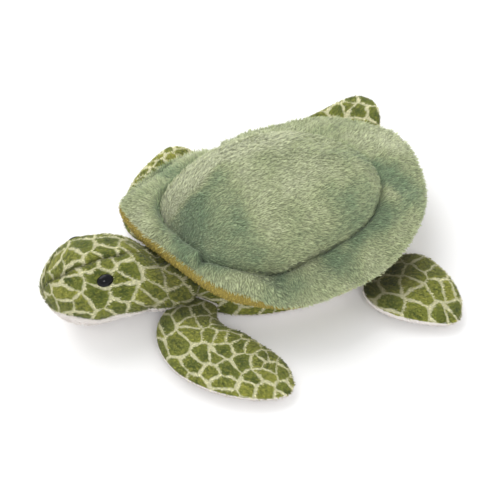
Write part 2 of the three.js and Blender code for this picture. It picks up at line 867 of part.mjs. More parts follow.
// The head with its neck, built about the neck's pivot and turned there.
function headGroup() {
  const outer = headForm(0);
  const hollow = headForm(cloth.print);
  const fibre = headForm(cloth.print + clearance);
  const cover = outer.subtract(hollow).subtract(neckOpening());
  const frames = [eyeFrame(1), eyeFrame(-1)];
  const cheeks = cover.subtract(gussetPrism(clearance)).subtract(jawPrism(clearance));
  const facet = Math.cos(Math.PI / head.sides) ** 2;
  const coreRadius = (neck.ballRadius - cloth.print) * facet - clearance;
  const core = solid(new THREE.SphereGeometry(coreRadius, 20, 12));
  const coreRoom = solid(new THREE.SphereGeometry(coreRadius + clearance, 20, 12));
  let filling = fibre.subtract(coreRoom).subtract(behindCore(coreRadius));
  const group = new THREE.Group();
  ["left", "right"].forEach((name, i) => {
    const cut = placedSolid(eyeCut(), frames[i]);
    const cheek = cheeks.intersect(sideBlock(i === 0 ? 1 : -1)).subtract(cut);
    group.add(named("cheek_" + name, geometryOf(cheek), finishes.scales));
    group.add(placed("eye_" + name, eyeForm(), finishes.black, frames[i]));
    group.add(placed("eye_washer_" + name, washerForm(), finishes.nylon, frames[i]));
    filling = filling.subtract(placedSolid(washerPocket(), frames[i]));
  });
  group.add(
    named("head_gusset", geometryOf(cover.intersect(gussetPrism(0))), finishes.scales),
    named("chin_panel", geometryOf(cover.intersect(jawPrism(0))), finishes.white),
    named("head_stuffing", geometryOf(filling), finishes.fibre),
    named("neck_stuffing", geometryOf(core), finishes.fibre),
  );
  group.position.set(neck.x, neck.y, neck.z);
  group.rotation.set(0, radians(-neck.roll), radians(neck.turn), "ZYX");
  return group;
}

// The space behind the neck's own fibre, which the head's fibre leaves free.
function behindCore(radius) {
  const reach = radius + overrun;
  return block(new THREE.Vector3(-reach, 0, -reach), new THREE.Vector3(reach, reach, reach));
}

function placed(name, geometry, finish, matrix) {
  const mesh = named(name, geometry, finish);
  mesh.applyMatrix4(matrix);
  return mesh;
}

function flipperGroup(name, pose) {
  const hollow = solid(flipperFilling(pose, cloth.print, 0));
  const upper = solid(flipperHalf(pose, 1)).subtract(hollow);
  const lower = solid(flipperHalf(pose, -1)).subtract(hollow);
  const group = new THREE.Group();
  group.add(
    named(name + "_top", geometryOf(upper), finishes.scales),
    named(name + "_underside", geometryOf(lower), finishes.white),
    named(name + "_stuffing", flipperFilling(pose, cloth.print, clearance), finishes.fibre),
  );
  return group;
}

const turtle = new THREE.Group();
turtle.add(shellGroup(), bodyGroup(), headGroup());
Object.entries(poseShares).forEach(([name, pose]) => {
  turtle.add(flipperGroup("flipper_" + name, pose));
});

// The origin lies on the floor under the middle of the whole turtle.
const box = new THREE.Box3().setFromObject(turtle, true);
turtle.position.set(-(box.min.x + box.max.x) / 2, -(box.min.y + box.max.y) / 2, 0);

export default turtle;
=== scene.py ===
import math

import bpy
import numpy as np
from mathutils import Matrix, Vector


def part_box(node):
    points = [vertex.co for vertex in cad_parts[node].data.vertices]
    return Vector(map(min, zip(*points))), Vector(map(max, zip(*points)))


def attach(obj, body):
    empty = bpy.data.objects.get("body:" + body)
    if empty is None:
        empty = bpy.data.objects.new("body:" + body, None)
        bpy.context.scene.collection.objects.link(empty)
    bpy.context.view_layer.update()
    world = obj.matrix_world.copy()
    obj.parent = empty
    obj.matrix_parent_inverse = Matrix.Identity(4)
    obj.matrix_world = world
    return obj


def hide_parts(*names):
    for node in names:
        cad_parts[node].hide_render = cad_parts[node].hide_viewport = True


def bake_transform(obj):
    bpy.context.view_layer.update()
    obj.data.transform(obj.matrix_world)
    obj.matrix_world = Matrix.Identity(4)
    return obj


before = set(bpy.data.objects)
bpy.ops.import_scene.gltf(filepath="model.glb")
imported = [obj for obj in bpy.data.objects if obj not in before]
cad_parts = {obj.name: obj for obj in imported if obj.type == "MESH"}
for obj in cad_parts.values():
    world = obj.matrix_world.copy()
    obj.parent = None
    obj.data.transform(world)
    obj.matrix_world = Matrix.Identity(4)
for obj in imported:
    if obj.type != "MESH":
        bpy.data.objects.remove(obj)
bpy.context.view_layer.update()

bpy.ops.object.select_all(action="DESELECT")
mm = 0.001  # the shapes below are worked out in millimetres and become metres in the meshes


# The shell's upright axis, on the floor: the pellet bag lies round it
low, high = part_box("pellet_bag")
shellAxis = np.array([(low.x + high.x) / 2, (low.y + high.y) / 2, 0.0]) / mm

# Camera, fitted to the photo
view = {
    "azimuth": 65.0,  # degrees round from looking along +Y
    "elevation": 46.5,
    "distance": 1100.0,
    "lens": 123.8,
    "sensor": 36.0,
    "clipEnd": 20.0,  # metres
    "aimHeight": 38.0,  # on the shell's axis
    "aimRight": -20.6,  # from there to the picture's middle
    "aimUp": -24.5,
}


def inScene(name, data):  # a new object in the scene
    obj = bpy.data.objects.new(name, data)
    bpy.context.scene.collection.objects.link(obj)
    return obj


def wayTo(azimuth, elevation):
    az, el = math.radians(azimuth), math.radians(elevation)
    return np.array([math.sin(az) * math.cos(el), -math.cos(az) * math.cos(el), math.sin(el)])


def addCamera():
    back = wayTo(view["azimuth"], view["elevation"])
    right = wayTo(view["azimuth"] + 90, 0)
    up = np.cross(back, right)
    aim = shellAxis + (0, 0, view["aimHeight"])
    aim = aim + right * view["aimRight"] + up * view["aimUp"]
    data = bpy.data.cameras.new("photoCamera")
    data.lens, data.sensor_width, data.clip_end = view["lens"], view["sensor"], view["clipEnd"]
    camera = inScene("photoCamera", data)
    turn = Matrix((right, up, back)).transposed().to_4x4()
    camera.matrix_world = Matrix.Translation(Vector((aim + back * view["distance"]) * mm)) @ turn
    bpy.context.scene.camera = camera


addCamera()
print("camera placed")


# Small tools for smooth forms

def curve(p, q, r, s, t):  # from q to r, smooth with the point before and the point after
    return q + 0.5 * t * (r - p + t * (2 * p - 5 * q + 4 * r - s + t * (3 * (q - r) + s - p)))


def throughPoints(points, count):  # a smooth curve through rows of points, evenly over the rows
    pts = np.asarray(points, float)
    last = pts.shape[-2] - 1
    t = np.linspace(0, last, count)
    i = np.minimum(t.astype(int), last - 1)
    near = [pts[..., np.clip(i + k, 0, last), :] for k in (-1, 0, 1, 2)]
    return curve(*near, (t - i)[:, None])


def roundTable(table, angle):  # a value from a closed table of even steps round the circle
    table = np.asarray(table, float)
    n = len(table)
    place = (angle / (2 * math.pi) * n) % n
    i = place.astype(int)
    return curve(*(table[(i + k) % n] for k in (-1, 0, 1, 2)), place - i)


def smoothStep(x, low, high):
    t = np.clip((x - low) / (high - low), 0, 1)
    return t * t * (3 - 2 * t)


def bell(x, width):
    return np.exp(-((x / width) ** 2))


def mix(a, b, t):
    return a + (b - a) * t


def ovalReach(angle, halfWidth, halfLength, squareness):
    across = np.abs(np.cos(angle) / halfWidth) ** squareness
    along = np.abs(np.sin(angle) / halfLength) ** squareness
    return (across + along) ** (-1 / squareness)


def softNoise(points, size, seed):  # smooth lumps of about one size, mostly from -1 to 1
    waves = 7
    rng = np.random.default_rng(seed)
    total = np.zeros(points.shape[:-1])
    for _ in range(waves):
        way = rng.normal(size=3)
        way *= rng.uniform(0.7, 1.4) * 2 * math.pi / (size * np.linalg.norm(way))
        total += np.sin(points @ way + rng.uniform(0, 2 * math.pi))
    return total / math.sqrt(waves)


def lumps(points, height, size, seed):
    return height * softNoise(points, size, seed)


def unit(vectors):
    return vectors / np.maximum(np.linalg.norm(vectors, axis=-1, keepdims=True), 1e-9)


def gridNormals(grid, looped):  # looped: the columns join round
    if looped:
        wide = np.concatenate([grid[:, -2:-1], grid, grid[:, 1:2]], 1)
        across = np.gradient(wide, axis=1)[:, 1:-1]
    else:
        across = np.gradient(grid, axis=1)
    return unit(np.cross(across, np.gradient(grid, axis=0)))


# A pile cloth over a grid of points: a sheet with real tufts, combed one way. A cell that isn't kept leaves
# a hole. The nap value, from 0 to 1, is partly the shade of the pile's own lie and partly painted light and
# shade.
plainNap = 0.5
bakeMarginShare = 0.02  # share of the square that stays free round a piece


def clothPiece(name, grid, pile, comb, outwards, looped=False, keep=None, nap=None):
    normals = gridNormals(grid, looped)
    if np.sum(normals * outwards) < 0:
        normals = -normals
    rows, cols = grid.shape[:2]
    kept = np.ones((rows - 1, cols - 1), bool) if keep is None else keep
    fields = {  # what the points of the grid carry
        "cloth": clothPlaces(grid) * pile["printShare"],
        "OFBake": np.stack(np.meshgrid(np.linspace(0, 1, cols), np.linspace(0, 1, rows)), -1),
        "nap": np.full((rows, cols, 1), plainNap) if nap is None else nap[..., None],
    }
    return meshPiece(name, clothSheet(grid, normals, kept, fields, pile),
                     tufts(grid, normals, kept, fields, pile, np.broadcast_to(comb, grid.shape)))


def clothPlaces(grid):  # places on the cloth in millimetres, measured along it
    down = np.linalg.norm(np.diff(grid, axis=0), axis=-1).mean(1)
    across = np.linalg.norm(np.diff(grid, axis=1), axis=-1)
    v = np.concatenate([[0], np.cumsum(down)])
    u = np.concatenate([np.zeros((len(grid), 1)), np.cumsum(across, 1)], 1)
    u = u - u.mean(1, keepdims=True)
    return np.stack([u, np.broadcast_to(v[:, None], u.shape)], -1)


def borderOf(quads):  # edges with one face, in the faces' own direction
    edges = np.concatenate([quads[:, [k, (k + 1) % 4]] for k in range(4)])
    _, first, count = np.unique(np.sort(edges, 1), axis=0, return_index=True, return_counts=True)
    return edges[first[count == 1]]


def clothSheet(grid, normals, kept, fields, pile):
    rows, cols = grid.shape[:2]
    count = rows * cols
    i, j = np.nonzero(kept)
    index = np.arange(count).reshape(rows, cols)
    quads = np.stack([index[i, j], index[i, j + 1], index[i + 1, j + 1], index[i + 1, j]], -1)
    row, col = rows // 2, cols // 2
    side = np.cross(grid[row, col + 1] - grid[row, col], grid[row + 1, col] - grid[row, col])
    if side @ normals[row, col] < 0:
        quads = quads[:, ::-1]
    edge = borderOf(quads)
    walls = np.stack([edge[:, 1], edge[:, 0], edge[:, 0] + count, edge[:, 1] + count], -1)
    carried = {key: np.concatenate([values.reshape(count, -1)] * 2) for key, values in fields.items()}
    return {
        **carried,
        "points": np.concatenate([grid, grid - normals * pile["backing"]]).reshape(-1, 3),
        "quads": np.concatenate([quads, quads[:, ::-1] + count, walls]),
        # the sheet under the tufts takes the root's painted shade
        "tone": np.full((2 * count, 1), pile["rootTone"]),
    }


# One tuft is a short flat blade, bent at its knee: shares of its pile's length, lift and width
tuftShares = {
    "lengthClumps": 0.16, "lengthVaries": 0.2, "shortest": 0.4, "longest": 1.6,
    "liftClumps": 0.25, "liftVaries": 0.3, "tipLift": 0.35,
    "belowKnee": 0.55, "aboveKnee": 0.45, "footWidth": 0.8,
}


def tuftWays(root, normal, comb, pile, rng):  # the way each tuft lies over the cloth, and its flat side
    swirl = np.radians(pile["swirl"]) * softNoise(root, pile["swirlSize"], pile["seed"] + 5)
    turn = (swirl + np.radians(pile["jitter"]) * rng.normal(size=len(root)))[:, None]
    way = unit(comb - normal * np.sum(comb * normal, 1, keepdims=True))
    way = way * np.cos(turn) + np.cross(normal, way) * np.sin(turn)
    roll = (np.radians(pile["roll"]) * rng.normal(size=len(root)))[:, None]
    return way, np.cross(normal, way) * np.cos(roll) + normal * np.sin(roll)


def tuftShapes(root, normal, way, side, pile, rng):  # two points at the foot, two at the knee, and the tip
    size = (len(root), 1)
    clump = softNoise(root, pile["clump"], pile["seed"] + 9)[:, None]
    length = 1 + tuftShares["lengthClumps"] * clump + tuftShares["lengthVaries"] * rng.normal(size=size)
    shortest, longest = tuftShares["shortest"] * pile["length"], tuftShares["longest"] * pile["length"]
    length = np.clip(pile["length"] * length, shortest, longest)
    lift = 1 + tuftShares["liftClumps"] * clump + tuftShares["liftVaries"] * rng.normal(size=size)
    lift = np.radians(pile["lift"] * lift)
    lean = way * np.cos(lift) + normal * np.sin(lift)
    drop = way * np.cos(lift * tuftShares["tipLift"]) + normal * np.sin(lift * tuftShares["tipLift"])
    foot = root - normal * pile["sink"]
    knee = foot + lean * length * tuftShares["belowKnee"]
    tip = knee + drop * length * tuftShares["aboveKnee"]
    half = side * pile["width"] / 2
    atFoot = half * tuftShares["footWidth"]
    # the foot is darker, painted shade between the tufts, and the tip paler, painted light; the shades vary
    # at random
    shade = 1 + pile["shade"] * rng.normal(size=size) + pile["clumpShade"] * clump
    tones = np.concatenate([shade * pile["rootTone"]] * 2 + [shade] * 2 + [shade * pile["tipTone"]], 1)
    return np.stack([foot - atFoot, foot + atFoot, knee - half, knee + half, tip], 1), tones


def tufts(grid, normals, kept, fields, pile, comb):
    rng = np.random.default_rng(pile["seed"])
    a, b = grid[:-1, :-1], grid[1:, 1:]
    area = np.linalg.norm(np.cross(b - a, grid[1:, :-1] - grid[:-1, 1:]), axis=-1) / 2
    number = area / pile["spacing"] ** 2 * kept + rng.random(area.shape)
    i, j = np.nonzero(kept)
    repeat = number[i, j].astype(int)
    i, j = np.repeat(i, repeat), np.repeat(j, repeat)
    s, t = rng.random(len(i))[:, None], rng.random(len(i))[:, None]

    def between(values):
        upper = mix(values[i, j], values[i, j + 1], t)
        return mix(upper, mix(values[i + 1, j], values[i + 1, j + 1], t), s)

    root, normal = between(grid), unit(between(normals))
    way, side = tuftWays(root, normal, between(comb), pile, rng)
    points, tones = tuftShapes(root, normal, way, side, pile, rng)
    moved, each = points - root[:, None], points.shape[1]
    carried = {key: np.repeat(between(values), each, 0) for key, values in fields.items()}
    for k, edge in ((0, grid[i, j + 1] - grid[i, j]), (1, grid[i + 1, j] - grid[i, j])):
        share = np.einsum("nkc,nc->nk", moved, edge) / np.maximum(np.sum(edge**2, 1), 1e-6)[:, None]
        carried["OFBake"][:, k] += share.ravel() * (1 / (grid.shape[1 - k] - 1))
    start = each * np.arange(len(i))[:, None]
    return {
        **carried,
        "points": points.reshape(-1, 3),
        "quads": start + [0, 1, 3, 2],
        "tris": start + [2, 3, 4],
        "tone": tones.reshape(-1, 1),
    }


def meshPiece(name, sheet, pile):
    shift = len(sheet["points"])
    quads = np.concatenate([sheet["quads"], pile["quads"] + shift])
    tris = pile["tris"] + shift
    keys = ("points", "cloth", "OFBake", "tone", "nap")
    joined = {key: np.concatenate([sheet[key], pile[key]]) for key in keys}
    starts = np.concatenate([4 * np.arange(len(quads)), 4 * len(quads) + 3 * np.arange(len(tris))])
    mesh = bpy.data.meshes.new(name)
    mesh.vertices.add(len(joined["points"]))
    mesh.vertices.foreach_set("co", (joined["points"] * mm).astype(np.float32).ravel())
    mesh.loops.add(quads.size + tris.size)
    mesh.loops.foreach_set("vertex_index", np.concatenate([quads.ravel(), tris.ravel()]).astype(np.int32))
    mesh.polygons.add(len(starts))
    mesh.polygons.foreach_set("loop_start", starts.astype(np.int32))
    mesh.update(calc_edges=True)
    mesh.validate()
    loops = np.empty(len(mesh.loops), np.int32)
    mesh.loops.foreach_get("vertex_index", loops)
    joined["cloth"] *= mm
    joined["OFBake"] = np.clip(bakeMarginShare + (1 - 2 * bakeMarginShare) * joined["OFBake"], 0, 1)
    for label in ("cloth", "OFBake"):
        data = mesh.uv_layers.new(name=label).data
        data.foreach_set("uv", joined[label][loops].astype(np.float32).ravel())
    for label in ("tone", "nap"):
        data = mesh.attributes.new(label, "FLOAT", "POINT").data
        data.foreach_set("value", joined[label].astype(np.float32).ravel())
    mesh.shade_smooth()
    return inScene(name, mesh)


def finish(obj, material, slot, body, *nodes, fill=0.6, bend=None):
    obj.data.materials.append(material)
    if bend:
        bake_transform(obj)
    else:
        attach(obj, body)
    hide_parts(*nodes)
    print("made", obj.name, len(obj.data.polygons), "faces")


# Materials

def colour(text):  # an sRGB hex colour as linear values
    parts = [int(text[k:k + 2], 16) / 255 for k in (0, 2, 4)]
    return [p / 12.92 if p <= 0.04045 else ((p + 0.055) / 1.055) ** 2.4 for p in parts] + [1.0]


def setNode(tree, node, settings, *inputs):  # settings and links by name or number, then inputs in order
    for key, value in [*settings.items(), *enumerate(inputs)]:
        if isinstance(value, bpy.types.NodeSocket):
            tree.links.new(value, node.inputs[key])
        elif isinstance(key, int) or key in node.inputs:
            node.inputs[key].default_value = value
        else:
            setattr(node, key, value)
    return node.outputs


def addNode(tree, kind, settings, *inputs):
    return setNode(tree, tree.nodes.new("ShaderNode" + kind), settings, *inputs)


def newMaterial(name, look, feed):  # feed makes the nodes, and says which inputs they go to
    material = bpy.data.materials.new(name)
    material.use_nodes = True
    tree = material.node_tree
    inputs = {"Roughness": look["roughness"], "Sheen Weight": look.get("sheen", 0.0), **feed(tree, look)}
    setNode(tree, tree.nodes["Principled BSDF"], inputs)
    return material


rgba = {"data_type": "RGBA"}  # of a Mix node, whose colours are 6 and 7 and whose result is 2


def sized(size, detail, place):  # settings of a noise with lumps of a size in millimetres
    return {"Scale": 1 / (size * mm), "Detail": detail, "Vector": place}


def tuftTone(tree, source):  # darker between the tufts, painted shade, and paler at their tips, painted light
    tone = addNode(tree, "Attribute", {"attribute_name": "tone"})["Fac"]
    grey = addNode(tree, "CombineColor", {}, tone, tone, tone)[0]
    return addNode(tree, "Mix", {**rgba, "blend_type": "MULTIPLY", 0: 1.0, 6: source, 7: grey})[2]


def clouds(tree, look):  # two near tones in soft clouds, and the clouds themselves
    place = addNode(tree, "TexCoord", {})["Object"]
    cloud = addNode(tree, "TexNoise", sized(look["cloud"], 2.0, place))["Fac"]
    tones = addNode(tree, "Mix", {**rgba, 0: cloud, 6: colour(look["base"]), 7: colour(look["shade"])})[2]
    return tones, cloud


# Long pile polyester plush: matt. Its colour goes from pale to deep with the nap value: partly the way its
# nap lies, partly painted light and painted shade
shellLook = {
    "pale": "C6CBA8", "middle": "ABB48A", "deep": "7D9270", "roughness": 0.92, "sheen": 0.25,
    "fineSize": 1.6, "fineShade": 0.14,  # from tuft to tuft
}


def shellPlush(tree, look):
    place = addNode(tree, "UVMap", {"uv_map": "cloth"})["UV"]
    nap = addNode(tree, "Attribute", {"attribute_name": "nap"})["Fac"]
    fine = addNode(tree, "TexNoise", sized(look["fineSize"], 2.0, place))["Fac"]
    speck = addNode(tree, "MapRange", {}, fine, 0.3, 0.7, -look["fineShade"], look["fineShade"])[0]
    amount = addNode(tree, "Math", {"operation": "ADD"}, nap, speck)[0]
    paler = addNode(tree, "MapRange", {}, amount, 0.0, plainNap)[0]
    deeper = addNode(tree, "MapRange", {}, amount, plainNap, 1.0)[0]
    both = addNode(tree, "Mix", {**rgba, 0: paler, 6: colour(look["pale"]), 7: colour(look["middle"])})[2]
    both = addNode(tree, "Mix", {**rgba, 0: deeper, 6: both, 7: colour(look["deep"])})[2]
    return {"Base Color": tuftTone(tree, both)}


# Short pile polyester plush, printed with olive scales on a cream net: the pile softens the print
printLook = {
    "scale": "778130", "scaleDeep": "4C5A1A", "scaleYellow": "ABAC48", "net": "E4E1B8",
    "pressed": "8F8D7E",  # painted shade tint in the neck's folds, at the flippers' roots and along the head's seams, where the pile is also pressed
    "cell": 12.6,  # across one scale
    "cellStrayShare": 0.82, "cellToneShare": 0.3,  # from even rows, and in tone
    "netWidth": 0.48,  # half of a line of the net
    "netSoft": 0.8,  # how far its edges run into the pile
    "netVaries": 0.45, "netVariesOver": 7.0,
    "cornerShares": (0.72, 0.79),  # from here out, in a cell, its corners are cut off round
    "deepShares": (0.12, 0.6, 1.0, 0.1),  # out from a cell's middle, and how deep the scale is there
    "wobble": 5.0, "wobbleOver": 9.0,
    "fleck": 2.2,
    "roughness": 0.9, "sheen": 0.15,
}


def creamNet(tree, look, place, toEdge, toMiddle):  # along the edges of the cells, and in their corners
    low, high, most = (value / look["cell"] for value in
                       (look["netWidth"], look["netWidth"] + look["netSoft"], look["netVaries"]))
    vary = addNode(tree, "TexNoise", sized(look["netVariesOver"], 2.0, place))["Fac"]
    vary = addNode(tree, "MapRange", {}, vary, 0.35, 0.65, -most, most)[0]
    edge = addNode(tree, "Math", {"operation": "ADD"}, toEdge, vary)[0]
    soft = {"interpolation_type": "SMOOTHSTEP"}
    line = addNode(tree, "MapRange", soft, edge, low, high, 1.0, 0.0)[0]
    corner = addNode(tree, "MapRange", soft, toMiddle, *look["cornerShares"])[0]
    return addNode(tree, "Math", {"operation": "MAXIMUM"}, line, corner)[0]


def oliveScale(tree, look, place, toMiddle, ownTone):  # deep in the middle, and flecked with yellow
    fleck = addNode(tree, "TexNoise", {**sized(look["fleck"], 3.0, place), "Roughness": 0.7})["Fac"]
    fleck = addNode(tree, "MapRange", {}, fleck, 0.4, 0.68)[0]
    deep = addNode(tree, "MapRange", {}, toMiddle, *look["deepShares"])[0]
    scale = addNode(tree, "Mix", {**rgba, 0: deep, 6: colour(look["scale"]), 7: colour(look["scaleDeep"])})[2]
    most = look["cellToneShare"]
    ownTone = addNode(tree, "MapRange", {}, ownTone, 0.0, 1.0, -most, most)[0]
    yellow = addNode(tree, "Math", {"operation": "ADD", "use_clamp": True}, fleck, ownTone)[0]
    return addNode(tree, "Mix", {**rgba, 0: yellow, 6: scale, 7: colour(look["scaleYellow"])})[2]


def printedPlush(tree, look):
    place = addNode(tree, "UVMap", {"uv_map": "cloth"})["UV"]
    bend = addNode(tree, "TexNoise", sized(look["wobbleOver"], 1.0, place))["Color"]
    bend = addNode(tree, "VectorMath", {"operation": "SUBTRACT"}, bend, (0.5, 0.5, 0.5))[0]
    bend = addNode(tree, "VectorMath", {"operation": "SCALE", "Scale": look["wobble"] * mm}, bend)[0]
    bent = addNode(tree, "VectorMath", {"operation": "ADD"}, place, bend)[0]
    cells = {"voronoi_dimensions": "2D", "Scale": 1 / (look["cell"] * mm), "Vector": bent,
             "Randomness": look["cellStrayShare"]}
    toEdge = addNode(tree, "TexVoronoi", {**cells, "feature": "DISTANCE_TO_EDGE"})["Distance"]
    inside = addNode(tree, "TexVoronoi", {**cells, "feature": "F1"})
    ownTone = addNode(tree, "SeparateColor", {}, inside["Color"])[0]
    net = creamNet(tree, look, place, toEdge, inside["Distance"])
    scale = oliveScale(tree, look, place, inside["Distance"], ownTone)
    printed = addNode(tree, "Mix", {**rgba, 0: net, 6: scale, 7: colour(look["net"])})[2]
    # painted shade where the nap value is raised: the neck's folds, the flippers' roots and the head's seams
    nap = addNode(tree, "Attribute", {"attribute_name": "nap"})["Fac"]
    pressed = addNode(tree, "MapRange", {}, nap, plainNap, 1.0)[0]
    printed = addNode(tree, "Mix", {**rgba, "blend_type": "MULTIPLY", 0: pressed, 6: printed,
                                    7: colour(look["pressed"])})[2]
    return {"Base Color": tuftTone(tree, printed)}


# Short polyester plush in one colour: matt, with hardly a shade in it
whiteLook = {"base": "F2EDE9", "shade": "E4DDD8", "cloud": 8.0, "roughness": 0.95, "sheen": 0.1}
ochreLook = {"base": "B4A352", "shade": "9C893C", "cloud": 6.0, "roughness": 0.92}


def plainPlush(tree, look):
    return {"Base Color": tuftTone(tree, clouds(tree, look)[0])}


# Moulded black acrylic, polished: nearly black, with a sharp highlight
eyeLook = {"base": "050507", "shade": "0B0B10", "cloud": 2.0, "roughness": 0.08, "ior": 1.49, "specular": 0.2,
           "haze": (0.05, 0.14)}


def eyeAcrylic(tree, look):
    tones, haze = clouds(tree, look)
    rough = addNode(tree, "MapRange", {}, haze, 0.0, 1.0, *look["haze"])[0]
    shine = {"IOR": look["ior"], "Specular IOR Level": look["specular"]}
    return {"Base Color": tones, "Roughness": rough, **shine}


# Moulded natural nylon: milky, with a dull shine
washerLook = {"base": "DEDCD6", "shade": "E9E8E4", "cloud": 3.0, "roughness": 0.45}


def washerNylon(tree, look):
    return {"Base Color": clouds(tree, look)[0]}


looks = {
    "shell": newMaterial("longPilePlush", shellLook, shellPlush),
    "print": newMaterial("printedShortPlush", printLook, printedPlush),
    "white": newMaterial("whiteShortPlush", whiteLook, plainPlush),
    "ochre": newMaterial("ochreShortPlush", ochreLook, plainPlush),
    "eye": newMaterial("polishedBlackAcrylic", eyeLook, eyeAcrylic),
    "washer": newMaterial("naturalNylon", washerLook, washerNylon),
}
print("materials ready")

# The piles, in millimetres and degrees: a tone multiplies the cloth's colour, and shades vary it. The root
# tone is painted shade between the tufts, the tip tone painted light on their tips
longPile = {
    "seed": 11, "spacing": 0.8, "length": 2.9, "width": 0.5, "lift": 30.0, "jitter": 12.0, "swirl": 14.0,
    "swirlSize": 34.0, "roll": 24.0, "clump": 3.6, "sink": 0.3, "backing": 1.0,
    "rootTone": 0.58, "tipTone": 1.18, "shade": 0.13, "clumpShade": 0.1,
    "printShare": 1.0,  # above 1, the print's scales are smaller
}
shortPile = {
    **longPile, "spacing": 0.7, "length": 1.6, "width": 0.4, "lift": 38.0, "jitter": 22.0, "swirl": 20.0,
    "clump": 2.4, "rootTone": 0.66, "tipTone": 1.26, "shade": 0.16, "clumpShade": 0.09,
}
liningPile = {**shortPile, "seed": 31, "spacing": 0.9, "length": 1.4, "width": 0.5, "shade": 0.1}
whitePile = {
    **shortPile, "seed": 41, "spacing": 0.95, "length": 1.7, "width": 0.55, "rootTone": 0.94, "tipTone": 1.02,
    "shade": 0.05, "clumpShade": 0.03,
}

# Shell: a stuffed dome sewn to a soft rim, lined with ochre cloth. Spots on it are placed by how far left and
# forward of the shell's axis they lie, and turns are in degrees from the left side.
shell = {
    "rimFront": 92.0, "rimRear": 102.0, "rimHalfWidth": 80.0, "rimSquareness": 2.2,
    "domeFront": 76.0, "domeRear": 73.0, "domeHalfWidth": 55.0, "domeSquareness": 2.3,
    "domeOffset": -4.0, "domeRise": 35.0,
    "seamHeight": 41.5, "undersideHeight": 36.0, "edgeHeight": 34.5, "frontLift": 5.0, "rearDrop": 2.0,
    "edgeRadius": 4.2, "frontRadius": 5.4, "puff": 3.4, "wave": 2.3,
    "waveShares": ((0.6, 5, 0.4), (0.4, 8, -1.1)),  # share of the wave, how often round and its start
    "frontSeam": 70.0, "restSeam": -22.0,  # where the rim meets its lining, round the edge
    "frontTurn": -78.0,  # the middle of the stretch where the lining shows
    "frontEnds": (0.55, 0.85),  # cosine of the turn from there where it has ended, and where it is full
    "skin": 1.0,  # the cloth lies this far inside the solid, under its pile
    "steps": 360, "domeRows": 64, "rimRows": 56, "liningRows": 40,
    # the rim's reach as shares, every 22.5 degrees from the left side round the front
    "rimShares": (0.97, 0.97, 0.93, 0.9, 0.96, 1.09, 1.07, 1.02, 0.96, 1.02, 1.07, 1.11, 1, 0.92, 0.9, 0.92),
    # the dome's reach as shares, on the same turns
    "seamShares": (0.94, 1, 0.98, 0.96, 0.96, 1.02, 1, 0.98, 0.95, 0.93, 0.9, 0.87, 0.91, 0.87, 0.88, 0.91),
    "domeShares": ((0, 1), (0.34, 0.97), (0.62, 0.87), (0.83, 0.67), (0.96, 0.39), (1.01, 0.14),
                   (0.985, -0.05)),
    # from the seam out to the edge, and the share of the puff there
    "puffShares": ((-0.35, -1.0), (-0.12, -0.95), (0.0, -0.7), (0.1, 0.75), (0.3, 1.1), (0.68, 0.85)),
    # shares of the edge's reach, and of the way down from the underside to the edge
    "underShares": ((0.88, 0.6), (0.7, 0.15), (0.45, 0), (0.2, 0)),
}
folds = {
    "ridge": ((-60, -24), (12, -24), (34, -22), (54, -8), (75, -12)),  # forward, and how far left it is
    "crest": 7.0, "crestWidth": 13.0, "crestRound": 3.0,
    "crestStart": (0, 55),  # forward
    "domeLumps": (0.5, 34, 4), "rimLumps": (0.6, 22, 6),  # height, size and seed
    "slumps": ((-31, -49, 24, 7.5),),  # of the dome: left, forward, radius and depth
    # the same for the hollows of the rim
    "hollows": ((-63, 55, 13, 5), (10, -80, 14, 4.5), (34, -62, 11, 3), (58, -12, 13, 4), (63, 27, 12, 3),
                (-20, -88, 9, -2), (-66, -40, 16, 3), (49, 27, 9, 2.2)),
    "rearFill": 3.4,  # raises the rim beside the dome at the left rear
    "fillTurn": 45.0, "fillEnds": (0.5, 0.95),
    # turn, side that is lifted or sunk, reach of that in degrees, height and outward change
    "nearPleat": (-71.0, -1, 34.0, 9.0),
    "farPleat": (-173.0, 1, 17.0, -4.0, -4.5),
    "pleatSoft": 1.2,
    "farLift": (-190.0, 13.0, 4.5),  # turn, half width in degrees and height
    "corner": (-117.5, 7.0, 5.5),  # turn, half width in degrees and further reach
    # a low fold across the rim: its two ends, height, width towards the dome and outwards
    "nearFold": ((26, 64), (66, 34), 3.6, 5.0, 9.0),
    "foldStartShares": (-0.1, 0.15), "foldEndShares": (1.15, 0.8),  # shares of its length
}
